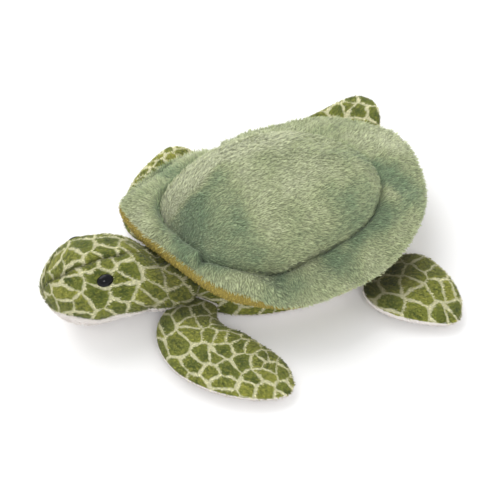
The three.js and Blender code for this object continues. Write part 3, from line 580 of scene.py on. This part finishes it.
# Changes of the nap value, below 0 paler and above 0 deeper: partly the way the pile lies, partly painted
# light and painted shade
lieAndShading = {
    "plain": 0.42,
    "lumps": ((0.09, 30, 7), (0.06, 11, 8)),  # change, size and seed
    "ridgeDeep": 0.42, "ridgePale": -0.33,  # painted shade in front of the ridge and painted light behind it, partly the nap's own lie
    "ridgeSoft": (-3, 4), "deepStart": (28, 42), "paleStart": (-45, 10),  # left of the ridge, and forward
    # the painted shade in the groove beside the dome, and its width
    "grooveShade": 0.5, "grooveWidth": 6.0,
    "grooveRight": (-30, 15), "grooveFront": (30, 55),  # where it fades in, to the right and forward
    # left, forward, radius and change: deeper spots are painted shade in the rim's hollows and on the dome's
    # side turned from the light, paler ones painted light on the side turned to it, and some are the nap's
    # own patches
    "spots": ((-63, 55, 14, 0.4), (10, -80, 14, 0.45), (31, -58, 12, 0.4), (56, -10, 13, 0.35),
              (62, 25, 13, 0.3), (0, -56, 15, 0.35), (20, 74, 13, 0.25), (32, -31, 13, 0.45),
              (-30, 45, 15, -0.5), (-40, 15, 17, -0.5), (-45, -15, 18, -0.3), (-20, 90, 13, -0.35),
              (-30, -95, 18, -0.3), (-75, 10, 14, -0.2), (10, 5, 28, -0.1)),
    # the rim's own spots: painted shade in its hollows and folds, and one painted light on a ridge
    "rimSpots": ((49, 27, 9, 0.45), (24, -77, 11, 0.4), (-7, -78, 10, 0.25), (37, -44, 10, 0.5),
                 (46, -27, 9, 0.45), (50, -8, 9, 0.3), (22, -67, 7, -0.4)),
}


def frontness(angle):
    return smoothStep(np.cos(angle - math.radians(shell["frontTurn"])), *shell["frontEnds"])


def edgeRadius(angle):
    return mix(shell["edgeRadius"], shell["frontRadius"], frontness(angle))


def degreesPast(angle, at):
    return (np.degrees(angle) - at + 180) % 360 - 180


def pleat(angle, at, side, reach):  # sudden on one side of its fold, dying away on the other
    past = side * degreesPast(angle, at)
    return smoothStep(past, -folds["pleatSoft"], folds["pleatSoft"]) * np.exp(-np.maximum(past, 0) / reach)


def bump(angle, at, width):
    return bell(degreesPast(angle, at), width)


def inPlan(grid):  # how far left and how far forward of the shell's axis
    return grid[..., 0] - shellAxis[0], shellAxis[1] - grid[..., 1]


def roundSpots(grid, spots):  # the sum of soft round spots
    total = np.zeros(grid.shape[:2])
    left, forward = inPlan(grid)
    for x, y, radius, amount in spots:
        total += amount * np.exp(-((left - x) ** 2 + (forward - y) ** 2) / radius**2)
    return total


def foldRise(grid):
    start, end, height, inner, outer = folds["nearFold"]
    start, way = np.array(start, float), np.subtract(end, start)
    place = np.stack(inPlan(grid), -1) - start
    along = place @ way / (way @ way)
    aside = (place[..., 0] * way[1] - place[..., 1] * way[0]) / np.hypot(*way)
    ends = smoothStep(along, *folds["foldStartShares"]) * smoothStep(along, *folds["foldEndShares"])
    return height * bell(aside, np.where(aside > 0, inner, outer)) * ends


def fromRidge(grid):  # how far left of the dome's ridge, and how far forward
    left, forward = inPlan(grid)
    return left - np.interp(forward, *np.array(folds["ridge"]).T), forward


# the plain nap and its random lumps, with spots of painted light and painted shade
def shellNapAndShading(grid):
    return lieAndShading["plain"] + roundSpots(grid, lieAndShading["spots"]) + sum(lumps(grid, *each) for each in lieAndShading["lumps"])


# painted shade in front of the dome's ridge and painted light behind it, partly the nap's own lie
def domeNapAndShading(grid):
    aside, forward = fromRidge(grid)
    nearer = smoothStep(aside, *lieAndShading["ridgeSoft"])
    deep = lieAndShading["ridgeDeep"] * nearer * smoothStep(forward, *lieAndShading["deepStart"])
    pale = lieAndShading["ridgePale"] * (1 - nearer) * smoothStep(forward, *lieAndShading["paleStart"])
    return np.clip(shellNapAndShading(grid) + deep + pale, 0, 1)


def rimNapAndShading(grid):  # deeper in the groove beside the dome: painted shade, with the rim's own spots
    left, forward = inPlan(grid)
    past = np.hypot(left, forward) - seamReach(np.arctan2(-forward, left))
    where = np.maximum(smoothStep(-left, *lieAndShading["grooveRight"]), smoothStep(forward, *lieAndShading["grooveFront"]))
    grooveShade = lieAndShading["grooveShade"] * bell(past, lieAndShading["grooveWidth"]) * where
    return np.clip(shellNapAndShading(grid) + roundSpots(grid, lieAndShading["rimSpots"]) + grooveShade, 0, 1)


def rimReach(angle):
    halfLength = np.where(np.sin(angle) < 0, shell["rimFront"], shell["rimRear"])
    oval = ovalReach(angle, shell["rimHalfWidth"], halfLength, shell["rimSquareness"])
    at, width, further = folds["corner"]
    corner = further * bump(angle, at, width)
    folded = folds["farPleat"][4] * pleat(angle, *folds["farPleat"][:3])
    return oval * roundTable(shell["rimShares"], -angle) + corner + folded


def seamReach(angle):
    halfLength = np.where(np.sin(angle) < 0, shell["domeFront"], shell["domeRear"])
    oval = ovalReach(angle, shell["domeHalfWidth"], halfLength, shell["domeSquareness"])
    return oval * roundTable(shell["seamShares"], -angle) + shell["domeOffset"] * np.cos(angle)


def edgeHeight(angle):
    slope = np.where(np.sin(angle) < 0, shell["frontLift"], shell["rearDrop"])
    wave = sum(share * np.cos(often * angle + start) for share, often, start in shell["waveShares"])
    sunk = folds["farPleat"][3] * pleat(angle, *folds["farPleat"][:3])
    raised = folds["farLift"][2] * bump(angle, *folds["farLift"][:2])
    return shell["edgeHeight"] - slope * np.sin(angle) + shell["wave"] * wave + sunk + raised


def roundAxis(profile, angle):  # one section for each angle, turned round the shell's axis
    out, up = profile[..., 0], profile[..., 1]
    x = shellAxis[0] + out * np.cos(angle)[:, None]
    y = shellAxis[1] + out * np.sin(angle)[:, None]
    return np.stack([x, y, up], -1).transpose(1, 0, 2)


def domeForm(angle):
    reach = seamReach(angle)[:, None] - shell["skin"]
    out, up = throughPoints(shell["domeShares"], shell["domeRows"]).T
    rise = shell["domeRise"] - shell["skin"]
    levels = np.broadcast_to(shell["seamHeight"] + up * rise, (len(angle), len(up)))
    grid = roundAxis(np.stack([out * reach, levels], -1), angle)
    inward = np.clip(1 - out, 0, 1)[:, None]
    aside, forward = fromRidge(grid)
    tent = np.exp(-np.sqrt(aside**2 + folds["crestRound"]) / folds["crestWidth"])
    crest = folds["crest"] * tent * smoothStep(forward, *folds["crestStart"])
    grid[..., 2] += crest * smoothStep(inward, 0, 0.3)
    slump = lumps(grid, *folds["domeLumps"]) - roundSpots(grid, folds["slumps"])
    grid[..., 2] += slump * smoothStep(inward, 0, 0.25)
    return grid


def edgeTube(angle):  # how far out and how high the soft edge's middle is, and the cloth's radius
    radius = edgeRadius(angle)
    return rimReach(angle) - radius, edgeHeight(angle), radius - shell["skin"]


def edgeArc(angle, start, end, shares):  # points round that edge
    edge, height, radius = edgeTube(angle)
    turns = [np.radians(mix(start, end, share)) for share in shares]
    return [np.stack([edge + radius * np.cos(turn), height + radius * np.sin(turn)], -1) for turn in turns]


def seamTurn(angle):
    return mix(shell["restSeam"], shell["frontSeam"], frontness(angle))


def rimForm(angle):
    seam = seamReach(angle)
    edge, height, radius = edgeTube(angle)
    top = height + radius
    fold = folds["nearPleat"][3] * pleat(angle, *folds["nearPleat"][:3])
    aside = np.cos(angle - math.radians(folds["fillTurn"]))
    filled = folds["rearFill"] * smoothStep(aside, *folds["fillEnds"])
    rows = []
    for out, up in shell["puffShares"]:
        level = mix(shell["seamHeight"] - shell["skin"], top, out)
        level = level + fold * (1 - out**2) * (out > 0) + filled * (1 - out) * (out >= 0)
        rows.append(np.stack([mix(seam, edge, out), level + up * shell["puff"]], -1))
    rows += edgeArc(angle, 90, seamTurn(angle), (0, 0.35, 0.7, 1))
    grid = roundAxis(throughPoints(np.stack(rows, 1), shell["rimRows"]), angle)
    across = np.linspace(0, 1, shell["rimRows"])[:, None]
    soft = smoothStep(across, 0.2, 0.4) * smoothStep(1 - across, 0, 0.35)
    rise = lumps(grid, *folds["rimLumps"]) + foldRise(grid) - roundSpots(grid, folds["hollows"])
    grid[..., 2] += rise * soft
    return grid


def liningForm(angle):
    edge, height, radius = edgeTube(angle)
    rows = edgeArc(angle, seamTurn(angle), -90, (0, 0.3, 0.65, 1))
    under = shell["undersideHeight"] - shell["skin"]
    for out, down in shell["underShares"]:
        rows.append(np.stack([out * edge, mix(under, height - radius, down)], -1))
    grid = roundAxis(throughPoints(np.stack(rows, 1), shell["liningRows"]), angle)
    across = np.linspace(0, 1, shell["liningRows"])[:, None]
    grid[..., 2] -= roundSpots(grid, folds["hollows"]) * smoothStep(across, 0, 0.4)
    return grid


rearward = (0.25, 1.0, 0.0)  # the way the pile is combed: to the turtle's rear


def fromAxis(grid, height):  # out from a point on the shell's axis
    return unit(grid - shellAxis - (0, 0, height))


def combOutwards(grid, down, back):  # out from the shell's axis, and somewhat down and rearward
    out = grid - shellAxis
    out[..., 2] = 0
    return unit(out) + (0, back, -down)


def addShell():
    angle = np.linspace(0, 2 * math.pi, shell["steps"] + 1)
    grid = domeForm(angle)
    dome = clothPiece("shellDome", grid, longPile, rearward, fromAxis(grid, 0), True, nap=domeNapAndShading(grid))
    finish(dome, looks["shell"], "shell_plush", "torso", "shell_dome_cover", "shell_stuffing")
    grid = rimForm(angle)
    rim = clothPiece("shellRim", grid, {**longPile, "seed": 12}, combOutwards(grid, 0.5, 0.5),
                     (0, 0, 1), True, nap=rimNapAndShading(grid))
    finish(rim, looks["shell"], "shell_plush", "torso", "shell_rim_cover", fill=0.3)
    grid = liningForm(angle)
    lining = clothPiece("shellLining", grid, liningPile, combOutwards(grid, 2.0, 0.0), (0, 0, -1), True)
    finish(lining, looks["ochre"], "ochre_lining", "torso", "shell_lining", fill=0.3)


addShell()
print("shell done")

# Body: printed back and sides, white belly, sewn along the side seam
body = {
    "halfLength": 80.0, "halfWidth": 56.5, "squareness": 2.2, "height": 35.6, "seamHeight": 9.0,
    "bellyHeight": 0.3, "insideHeight": 30.0,
    "skin": 0.8, "steps": 180, "rows": 40,
    "neck": (0.0, -66.0, 19.0), "mouthRadius": 12.0,  # the neck's pivot, and the hole round it
    # shares of the reach, and of the way up from the seam or from the floor to it
    "backShares": ((0, 1), (0.3, 1), (0.55, 0.985), (0.82, 0.86), (0.955, 0.5), (1.0, 0.0)),
    "bellyShares": ((1.0, 1.0), (0.955, 0.55), (0.84, 0.16), (0.66, 0.0), (0.3, 0.0), (0.0, 0.0)),
}
bellyPile = {**whitePile, "length": 2.0, "lift": 14.0}
neckPivot = shellAxis + body["neck"]


def seamOval(angle):  # how far out the body's side seam lies
    return ovalReach(angle, body["halfWidth"], body["halfLength"], body["squareness"])


def bodyForm(shares, low, high):
    angle = np.linspace(0, 2 * math.pi, body["steps"] + 1)
    out, up = throughPoints(shares, body["rows"]).T
    levels = np.broadcast_to(mix(low, high, up), (len(angle), body["rows"]))
    return roundAxis(np.stack([out * (seamOval(angle)[:, None] - body["skin"]), levels], -1), angle)


def clearOfNeck(grid):  # cells outside the round mouth that the neck comes out of
    middle = (grid[:-1, :-1] + grid[1:, 1:]) / 2 - neckPivot
    return ~((middle[..., 1] < 0) & (np.hypot(middle[..., 0], middle[..., 2]) < body["mouthRadius"]))


def addBody():
    grid = bodyForm(body["backShares"], body["seamHeight"], body["height"] - body["skin"])
    back = clothPiece("bodyBack", grid, {**shortPile, "seed": 21}, rearward, fromAxis(grid, 0), True,
                      clearOfNeck(grid))
    finish(back, looks["print"], "scale_plush", "torso", "body_back_panel", "body_stuffing", "pellet_bag")
    grid = bodyForm(body["bellyShares"], body["bellyHeight"], body["seamHeight"])
    belly = clothPiece("bodyBelly", grid, bellyPile, rearward, fromAxis(grid, body["insideHeight"]), True,
                       clearOfNeck(grid))
    finish(belly, looks["white"], "white_plush", "torso", "belly_panel")


addBody()
print("body done")


def pressedNear(grid, place, near, far, most):  # the nap value of short pile near a place, raised there for painted shade, where the pile is also pressed
    return plainNap + most * (1 - smoothStep(np.linalg.norm(grid - place, axis=-1), near, far))


# Head: two cheeks and a gusset over the crown in printed plush, and a white chin
head = {
    "reach": 97.5, "halfWidth": 29.5, "crown": 42.0, "chin": 15.2, "ball": 15.0, "turn": 1.0, "roll": 16.0,
    "skin": 0.8, "rows": 110,
    # share of the reach, then shares of half width, crown and chin
    "shares": (
        (0.12, 1.1, 0.35, 1.2), (0.22, 1.12, 0.36, 1.2), (0.32, 1.1, 0.64, 1.2), (0.425, 1.04, 0.82, 1.12),
        (0.535, 1, 0.9, 1.03), (0.655, 1, 0.97, 1), (0.775, 0.93, 0.93, 0.9), (0.87, 0.75, 0.77, 0.56),
        (0.94, 0.5, 0.62, 0.02), (0.98, 0.26, 0.48, -0.5), (0.99, 0.02, 0.34, -0.9),
    ),
    "ballTurns": (-25, 0), "ballWidthShare": 1.6,  # of the neck's end, round its pivot
    # share of the reach, and share of the half width or of the chin where the seams run
    "gussetShares": ((-0.2, 0.2), (0.25, 0.26), (0.5, 0.5), (0.72, 0.56), (0.86, 0.36), (0.97, 0.07),
                     (1, 0.02)),
    "jawShares": ((-0.2, -0.6), (0.3, -0.6), (0.5, -0.42), (0.72, -0.2), (0.9, 0.22), (1.1, 0.25)),
    # the seams' dips, and the painted shade along their creases
    "seamDepth": 1.9, "seamWidth": 1.7, "seamShade": 0.33,
    "lumps": (0.5, 26, 3),  # height, size and seed
    # share of the reach, width and depth of the folds round the neck
    "folds": ((0.4, 2.2, 1.3), (0.31, 2.4, 1.2), (0.22, 2.4, 1.6)),
    "foldWanders": 2.0,
    "deepestShare": 0.9,  # of the way in to the middle line that the cloth may go
    "rightNeckShare": 0.84,  # the neck's width low on its right side, where it has to clear the flipper
    "pressed": (36, 60, 0.33),  # painted shade near the neck's pivot, under the shell: near and far from the pivot, and the most there
    "combFrom": (-1.02, 8.0),  # share of the reach, and height: the pile is combed away from there
    "bendTo": (0.0, -46.0, 4.0),  # from the pivot, a point towards where the neck's cloth would bend when the head nods; nothing here bends it
}
headPanels = (  # name, panel, columns, look, slot and nodes
    ("headGusset", "gusset", 30, "print", "scale_plush", ("head_gusset", "head_stuffing", "neck_stuffing")),
    ("cheekLeft", "left", 54, "print", "scale_plush", ("cheek_left",)),
    ("cheekRight", "right", 54, "print", "scale_plush", ("cheek_right",)),
    ("headChin", "chin", 40, "white", "white_plush", ("chin_panel",)),
)


def toBody(points):  # from the head's own frame, about the neck's pivot, to where it lies
    turn = Matrix.Rotation(math.radians(head["turn"]), 3, "Z")
    turn = turn @ Matrix.Rotation(-math.radians(head["roll"]), 3, "Y")
    return points @ np.array(turn).T + neckPivot


def headRows():
    turns = [math.radians(turn) for turn in head["ballTurns"]]
    ball = [(head["ball"] * math.sin(turn), head["ball"] * math.cos(turn)) for turn in turns]
    rows = [(along, head["ballWidthShare"] * r, r, r) for along, r in ball]
    for along, half, top, bottom in head["shares"]:
        sizes = half * head["halfWidth"], top * head["crown"], bottom * head["chin"]
        rows.append((along * head["reach"], *sizes))
    return throughPoints(rows, head["rows"])


def panelEnds(which, share, half, tall, high):  # the turns of a panel's two seams, for each row
    gusset = np.interp(share, *np.array(head["gussetShares"]).T) * head["halfWidth"]
    jaw = np.interp(share, *np.array(head["jawShares"]).T) * head["chin"]
    upper = np.arccos(np.clip(gusset / np.maximum(half, 1e-3), 0, 0.98))
    lower = np.arcsin(np.clip((jaw - high) / np.maximum(tall, 1e-3), -0.96, 0.2))
    ends = {
        "gusset": (math.pi - upper, upper),
        "left": (upper, lower),
        "right": (math.pi - lower, math.pi - upper),
        "chin": (lower, -math.pi - lower),
    }[which]
    return ends[0][:, None], ends[1][:, None]


def headPatch(which, columns):  # one panel between its seams, the way out from it, and its nap value with painted shade
    along, half, top, bottom = headRows().T
    tall, high = (top + bottom) / 2, (top - bottom) / 2
    share = along / head["reach"]
    first, last = panelEnds(which, share, half, tall, high)
    t = np.linspace(0, 1, columns)[None]
    turn = mix(first, last, t)
    rightSide = mix(head["rightNeckShare"], 1, smoothStep(share, 0.3, 0.5))[:, None]
    rightSide = mix(rightSide, 1, smoothStep(np.sin(turn), 0.3, 0.8))
    x = half[:, None] * np.cos(turn) * np.where(np.cos(turn) < 0, rightSide, 1)
    z = high[:, None] + tall[:, None] * np.sin(turn)
    y = -np.broadcast_to(along[:, None], x.shape)
    grid = np.stack([x, y, z], -1)
    middle = np.stack([0 * along, -along, high], -1)[:, None]
    away = unit(grid - middle)
    reach = np.linalg.norm(grid - middle, axis=-1)
    fromSeam = np.minimum(t, 1 - t) * np.abs(last - first) * reach
    atSeam = bell(fromSeam, head["seamWidth"])
    dip = head["seamDepth"] * atSeam
    for place, width, depth in head["folds"]:
        bent = along[:, None] - place * head["reach"] + head["foldWanders"] * np.sin(3 * turn + 9 * place)
        dip = dip + depth * bell(bent, width) * (0.6 + 0.4 * np.sin(2 * turn + 20 * place))
    dip = head["skin"] + dip - lumps(grid, *head["lumps"])
    grid = grid - away * np.minimum(dip, head["deepestShare"] * reach)[..., None]
    outwards = toBody(grid + away) - toBody(grid)
    grid = toBody(grid)
    # painted shade near the neck and along the seams
    pressed = pressedNear(grid, neckPivot, *head["pressed"])
    return grid, outwards, np.maximum(plainNap + head["seamShade"] * atSeam, pressed)


def addHead():
    bend = ("head", neckPivot, neckPivot + head["bendTo"])
    along, height = head["combFrom"]
    nose = toBody(np.array([0, along * head["reach"], height]))
    for number, (name, which, columns, look, slot, nodes) in enumerate(headPanels):
        grid, outwards, pressed = headPatch(which, columns)
        pile = {**(whitePile if look == "white" else shortPile), "seed": 51 + number}
        comb = unit(grid - nose) + (0, 0.3, -0.05)
        piece = clothPiece(name, grid, pile, comb, outwards, nap=pressed)
        finish(piece, looks[look], slot, "neck", *nodes, bend=bend)


addHead()

# Eyes: oval polished domes, drawn a little into the pile
eye = {
    "alongShare": 0.645,  # share of the head's reach
    "elevation": 25.5, "halfWidth": 5.3, "halfHeight": 3.9, "bulge": 3.3, "seat": 0.4,
    "cutShare": -0.25,  # of the bulge, where the dome ends behind
    "segments": 48, "rings": 24, "sharpEdge": 40.0,
}


def eyeFrame(side):  # the eye's place on the cheek, the way out there and the way to the nose
    tall, high = (head["crown"] + head["chin"]) / 2, (head["crown"] - head["chin"]) / 2
    angle = math.radians(eye["elevation"])
    out = np.array([side * math.cos(angle), 0, math.sin(angle)])
    reach = 1 / math.hypot(math.cos(angle) / head["halfWidth"], math.sin(angle) / tall)
    place = np.array([0, -eye["alongShare"] * head["reach"], high]) + out * reach
    spot = toBody(place)
    normal = unit(toBody(place + out) - spot)
    forward = unit(toBody(place + (0, -1.0, 0)) - spot)
    return spot, normal, forward


def addEye(name, side, node):
    spot, normal, forward = eyeFrame(side)
    bpy.ops.mesh.primitive_uv_sphere_add(segments=eye["segments"], ring_count=eye["rings"], radius=1)
    obj = bpy.context.object
    obj.name = name
    bpy.ops.object.mode_set(mode="EDIT")
    bpy.ops.mesh.select_all(action="SELECT")
    cut = (0, 0, eye["cutShare"])
    bpy.ops.mesh.bisect(plane_co=cut, plane_no=(0, 0, 1), clear_inner=True, use_fill=True)
    bpy.ops.mesh.select_all(action="SELECT")
    size = (eye["halfWidth"] * mm, eye["halfHeight"] * mm, eye["bulge"] * mm)
    bpy.ops.transform.resize(value=size, center_override=(0, 0, 0))
    bpy.ops.object.mode_set(mode="OBJECT")
    bpy.ops.object.shade_smooth_by_angle(angle=math.radians(eye["sharpEdge"]))
    across = np.cross(normal, forward)
    turn = Matrix(np.stack([forward, across, normal], 1).tolist()).to_4x4()
    place = Vector((spot + normal * eye["seat"]) * mm)
    obj.data.transform(Matrix.Translation(place) @ turn)
    obj.select_set(False)
    obj.data.materials.append(looks["eye"])
    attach(obj, "head")
    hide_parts(node)


addEye("eyeDomeLeft", 1, "eye_left")
addEye("eyeDomeRight", -1, "eye_right")
for node in ("eye_washer_left", "eye_washer_right"):
    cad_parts[node].data.materials.clear()
    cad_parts[node].data.materials.append(looks["washer"])
print("head and eyes done")

# Flippers: a printed top and a white underside, sewn round the edge. A row of shares gives the place along
# the flipper, the half width to the leading and the trailing edge, and the half thickness.
frontFlipper = {
    "length": 91.0, "halfWidth": 24.0, "halfThickness": 9.0, "rootAngle": 65.0, "rootHeight": 16.5,
    # the painted shade at the root, under the shell: near and far from it, and the most there
    "tipHeight": 6.4, "pressed": (12.0, 29.0, 0.3), "seamLift": 3.0, "printShare": 1.22,
    "shares": (
        (0.0, 0.56, 0.46, 0.27), (0.08, 0.98, 0.48, 0.5), (0.2, 1.28, 0.66, 0.83), (0.36, 1.28, 0.98, 1),
        (0.54, 1.04, 1.1, 0.96), (0.7, 0.82, 1.08, 0.86), (0.84, 0.64, 0.96, 0.72), (0.94, 0.46, 0.72, 0.54),
        (0.98, 0.3, 0.44, 0.36), (1, 0.06, 0.06, 0.1),
    ),
}
rearFlipper = {
    "length": 76.0, "halfWidth": 24.0, "halfThickness": 7.5, "rootAngle": -40.0, "rootHeight": 15.0,
    # the painted shade at the root, under the shell: near and far from it, and the most there
    "tipHeight": 6.0, "pressed": (18.0, 42.0, 0.5), "seamLift": 12.0, "printShare": 1.0,
    "shares": (
        (0.0, 0.6, 0.66, 0.32), (0.1, 0.92, 0.95, 0.62), (0.25, 1.06, 1.12, 0.92), (0.45, 0.98, 1.16, 1),
        (0.65, 0.78, 1.04, 0.9), (0.82, 0.58, 0.8, 0.74), (0.93, 0.4, 0.52, 0.56), (0.98, 0.24, 0.28, 0.36),
        (1, 0.05, 0.05, 0.1),
    ),
}
# Headings are in degrees out from the side, towards the front. A flipper has turned to its own at turnShare
# of its length, and the lift of its tip is in millimetres.
flippers = {
    "front_left": {
        "kind": frontFlipper, "mirror": 1, "heading": 25, "bend": -96, "turnShare": 0.44,
        "lengthShare": 1, "widthShare": 0.95,
    },
    "front_right": {
        "kind": frontFlipper, "mirror": -1, "heading": -31, "bend": -11, "turnShare": 0.26,
        "lengthShare": 1.05, "widthShare": 0.84, "leadShares": (0.78, 1.12),
    },
    "rear_left": {
        "kind": rearFlipper, "mirror": 1, "heading": -25, "bend": -15, "turnShare": 0.39,
        "lengthShare": 0.79, "widthShare": 1.05, "leadShares": (0.94, 0.94), "trailShares": (1.12, 1.06),
    },
    "rear_right": {
        "kind": rearFlipper, "mirror": -1, "heading": -74, "bend": 18, "turnShare": 0.3,
        "lengthShare": 0.98, "widthShare": 1.02, "lift": 18,
    },
}
flipperCloth = {
    "gap": 0.3,  # between the root and the body's seam
    "slantShare": 0.5,  # how far the root's way turns from square to the seam
    # behind the root: shares of its thickness back, of its width and of its thickness
    "rootShares": ((1.6, 0.8, 0.1), (0.8, 0.96, 0.72)),
    "spineSteps": 200, "rows": 70, "columns": 44,
    "edgeSkin": 0.6, "skin": 0.8,
    "lumps": (0.45, 24, 13),  # height, size and seed
    "bend": 22.0,  # length of cloth beside the seam that would bend when a flipper flaps; nothing here bends it
}


def seamHeading(kind):  # square to the body's side seam at the root
    angle = math.radians(kind["rootAngle"])
    reach = seamOval(angle)
    power = body["squareness"] - 1
    across = abs(reach * math.cos(angle) / body["halfWidth"]) ** power / body["halfWidth"]
    along = abs(reach * math.sin(angle) / body["halfLength"]) ** power / body["halfLength"]
    return math.degrees(math.atan2(math.copysign(along, angle), across))


def headingAt(pose, share, start):
    return mix(start, pose["heading"], smoothStep(share, 0, pose["turnShare"])) + pose["bend"] * share


def direction(pose, heading):
    angle = np.radians(heading)
    return np.stack([pose["mirror"] * np.cos(angle), -np.sin(angle), 0 * angle], -1)


def flipperRoot(pose):
    kind = pose["kind"]
    angle = math.radians(kind["rootAngle"])
    onSeam = np.array([pose["mirror"] * math.cos(angle), -math.sin(angle), 0]) * seamOval(angle)
    gap = kind["shares"][0][3] * kind["halfThickness"] + flipperCloth["gap"]
    return shellAxis + onSeam + direction(pose, seamHeading(kind)) * gap


def flipperSpine(pose, share):  # places along the flipper's middle line
    kind, fine = pose["kind"], flipperCloth["spineSteps"]
    start = mix(seamHeading(kind), pose["heading"], flipperCloth["slantShare"])
    middles = (np.arange(fine) + 0.5) / fine
    steps = direction(pose, headingAt(pose, middles, start)) * kind["length"] * pose["lengthShare"] / fine
    spine = flipperRoot(pose) + np.concatenate([np.zeros((1, 3)), np.cumsum(steps, 0)])
    place = np.stack([np.interp(share, np.linspace(0, 1, fine + 1), spine[:, k]) for k in range(3)], -1)
    place[:, 2] = mix(kind["rootHeight"], kind["tipHeight"] + pose.get("lift", 0), share ** 0.7)
    return place


def flipperRows(pose, count):  # the middle line, the way across, and how far out the edges and faces lie
    kind = pose["kind"]
    square = seamHeading(kind)
    rows = throughPoints(kind["shares"], count)
    share = np.clip(rows[:, 0], 0, 1)
    place = flipperSpine(pose, share)
    across = direction(pose, headingAt(pose, share, square) + 90)
    wide = kind["halfWidth"] * pose["widthShare"]
    tipward = smoothStep(share, 0.2, 0.7)
    lead = rows[:, 1] * wide * mix(*pose.get("leadShares", (1, 1)), tipward)
    trail = rows[:, 2] * wide * mix(*pose.get("trailShares", (1, 1)), tipward)
    thick = rows[:, 3] * kind["halfThickness"]
    back, width, thickness = np.array(flipperCloth["rootShares"]).T
    behind = place[0] - direction(pose, square) * back[:, None] * thick[0]
    place = np.concatenate([behind, place])
    across = np.concatenate([[across[0]] * len(back), across])
    lead = np.concatenate([width * lead[0], lead])
    trail = np.concatenate([width * trail[0], trail])
    thick = np.concatenate([thickness * thick[0], thick])
    return place, across, np.maximum(lead, 0.3), np.maximum(trail, 0.3), np.maximum(thick, 0.2)


def flipperPatch(pose, side):  # side: 1 for the top and -1 for the underside
    place, across, lead, trail, thick = flipperRows(pose, flipperCloth["rows"])
    seamLift = math.radians(pose["kind"]["seamLift"])
    turn = np.linspace(side * seamLift, math.pi, flipperCloth["columns"])[None]
    reach = np.where(np.cos(turn) > 0, lead[:, None], trail[:, None]) - flipperCloth["edgeSkin"]
    out = np.maximum(reach, 0.2) * np.cos(turn)
    up = np.maximum(thick[:, None] - flipperCloth["skin"], 0.1) * np.sin(turn)
    grid = place[:, None] + across[:, None] * out[..., None]
    grid[..., 2] += side * up
    grid[..., 2] += lumps(grid, *flipperCloth["lumps"]) * np.sin(turn)
    return grid, grid - place[:, None]


def addFlipper(name, pose, number):
    kind = pose["kind"]
    title = "".join(part.capitalize() for part in name.split("_"))
    wayOut = direction(pose, np.array(pose["heading"] + pose["bend"] * 0.5))
    place = flipperRows(pose, 20)[0]
    outwards = unit(unit(place[-1] - place[0]) + direction(pose, seamHeading(kind)))
    bend = ("flipper_" + name, place[0], place[0] + outwards * flipperCloth["bend"])
    sides = ((1, "print", "scale_plush", "top"), (-1, "white", "white_plush", "underside"))
    for side, look, slot, part in sides:
        grid, away = flipperPatch(pose, side)
        pile = {**(shortPile if side > 0 else whitePile), "seed": 71 + 2 * number + (side < 0),
                "printShare": kind["printShare"]}
        # its nap value carries painted shade at the root
        piece = clothPiece("flipper" + title + part.capitalize(), grid, pile, wayOut, away,
                           nap=pressedNear(grid, place[0], *kind["pressed"]))
        nodes = ["flipper_" + name + "_" + part] + (["flipper_" + name + "_stuffing"] if side > 0 else [])
        finish(piece, looks[look], slot, "torso", *nodes, bend=bend)


for number, (name, pose) in enumerate(flippers.items()):
    addFlipper(name, pose, number)
print("flippers done")

# Floor and light, in metres, degrees and watts
stage = {
    "size": 6.0, "floorHeight": -0.0004, "floor": "FFFFFF", "roughness": 0.9, "worldLight": 0.74,
    # power, size, azimuth, elevation and distance
    "lamps": {"keySoftbox": (11.5, 1.3, -75, 50, 1.3), "fillSoftbox": (3.4, 0.28, 74, 44, 1.2)},
}


def addFloor():
    bpy.ops.mesh.primitive_plane_add(size=stage["size"], location=(0, 0, stage["floorHeight"]))
    floor = bpy.context.object
    floor.name = "floor"
    paint = {"Base Color": colour(stage["floor"])}
    floor.data.materials.append(newMaterial("paleFloor", stage, lambda tree, look: paint))
    floor.select_set(False)


def addLamp(name, power, size, azimuth, elevation, distance):
    way = Vector(wayTo(azimuth, elevation))
    data = bpy.data.lights.new(name, "AREA")
    data.energy, data.size = power, size
    lamp = inScene(name, data)
    lamp.location = way * distance
    lamp.rotation_euler = way.to_track_quat("Z", "Y").to_euler()


def addWorld():  # white to the camera, and dimmer as a light
    world = bpy.data.worlds.new("studio")
    bpy.context.scene.world = world
    world.use_nodes = True
    tree = world.node_tree
    shown = setNode(tree, tree.nodes["Background"], {"Color": (1, 1, 1, 1)})[0]
    lit = addNode(tree, "Background", {"Color": (1, 1, 1, 1), "Strength": stage["worldLight"]})[0]
    path = addNode(tree, "LightPath", {})
    seen = addNode(tree, "Math", {"operation": "MAXIMUM"}, path["Is Camera Ray"], path["Is Glossy Ray"])[0]
    both = addNode(tree, "MixShader", {}, seen, lit, shown)[0]
    setNode(tree, tree.nodes["World Output"], {"Surface": both})


addFloor()
addWorld()
for name, settings in stage["lamps"].items():
    addLamp(name, *settings)
bpy.context.scene.view_settings.view_transform = "Standard"
print("stage lit")
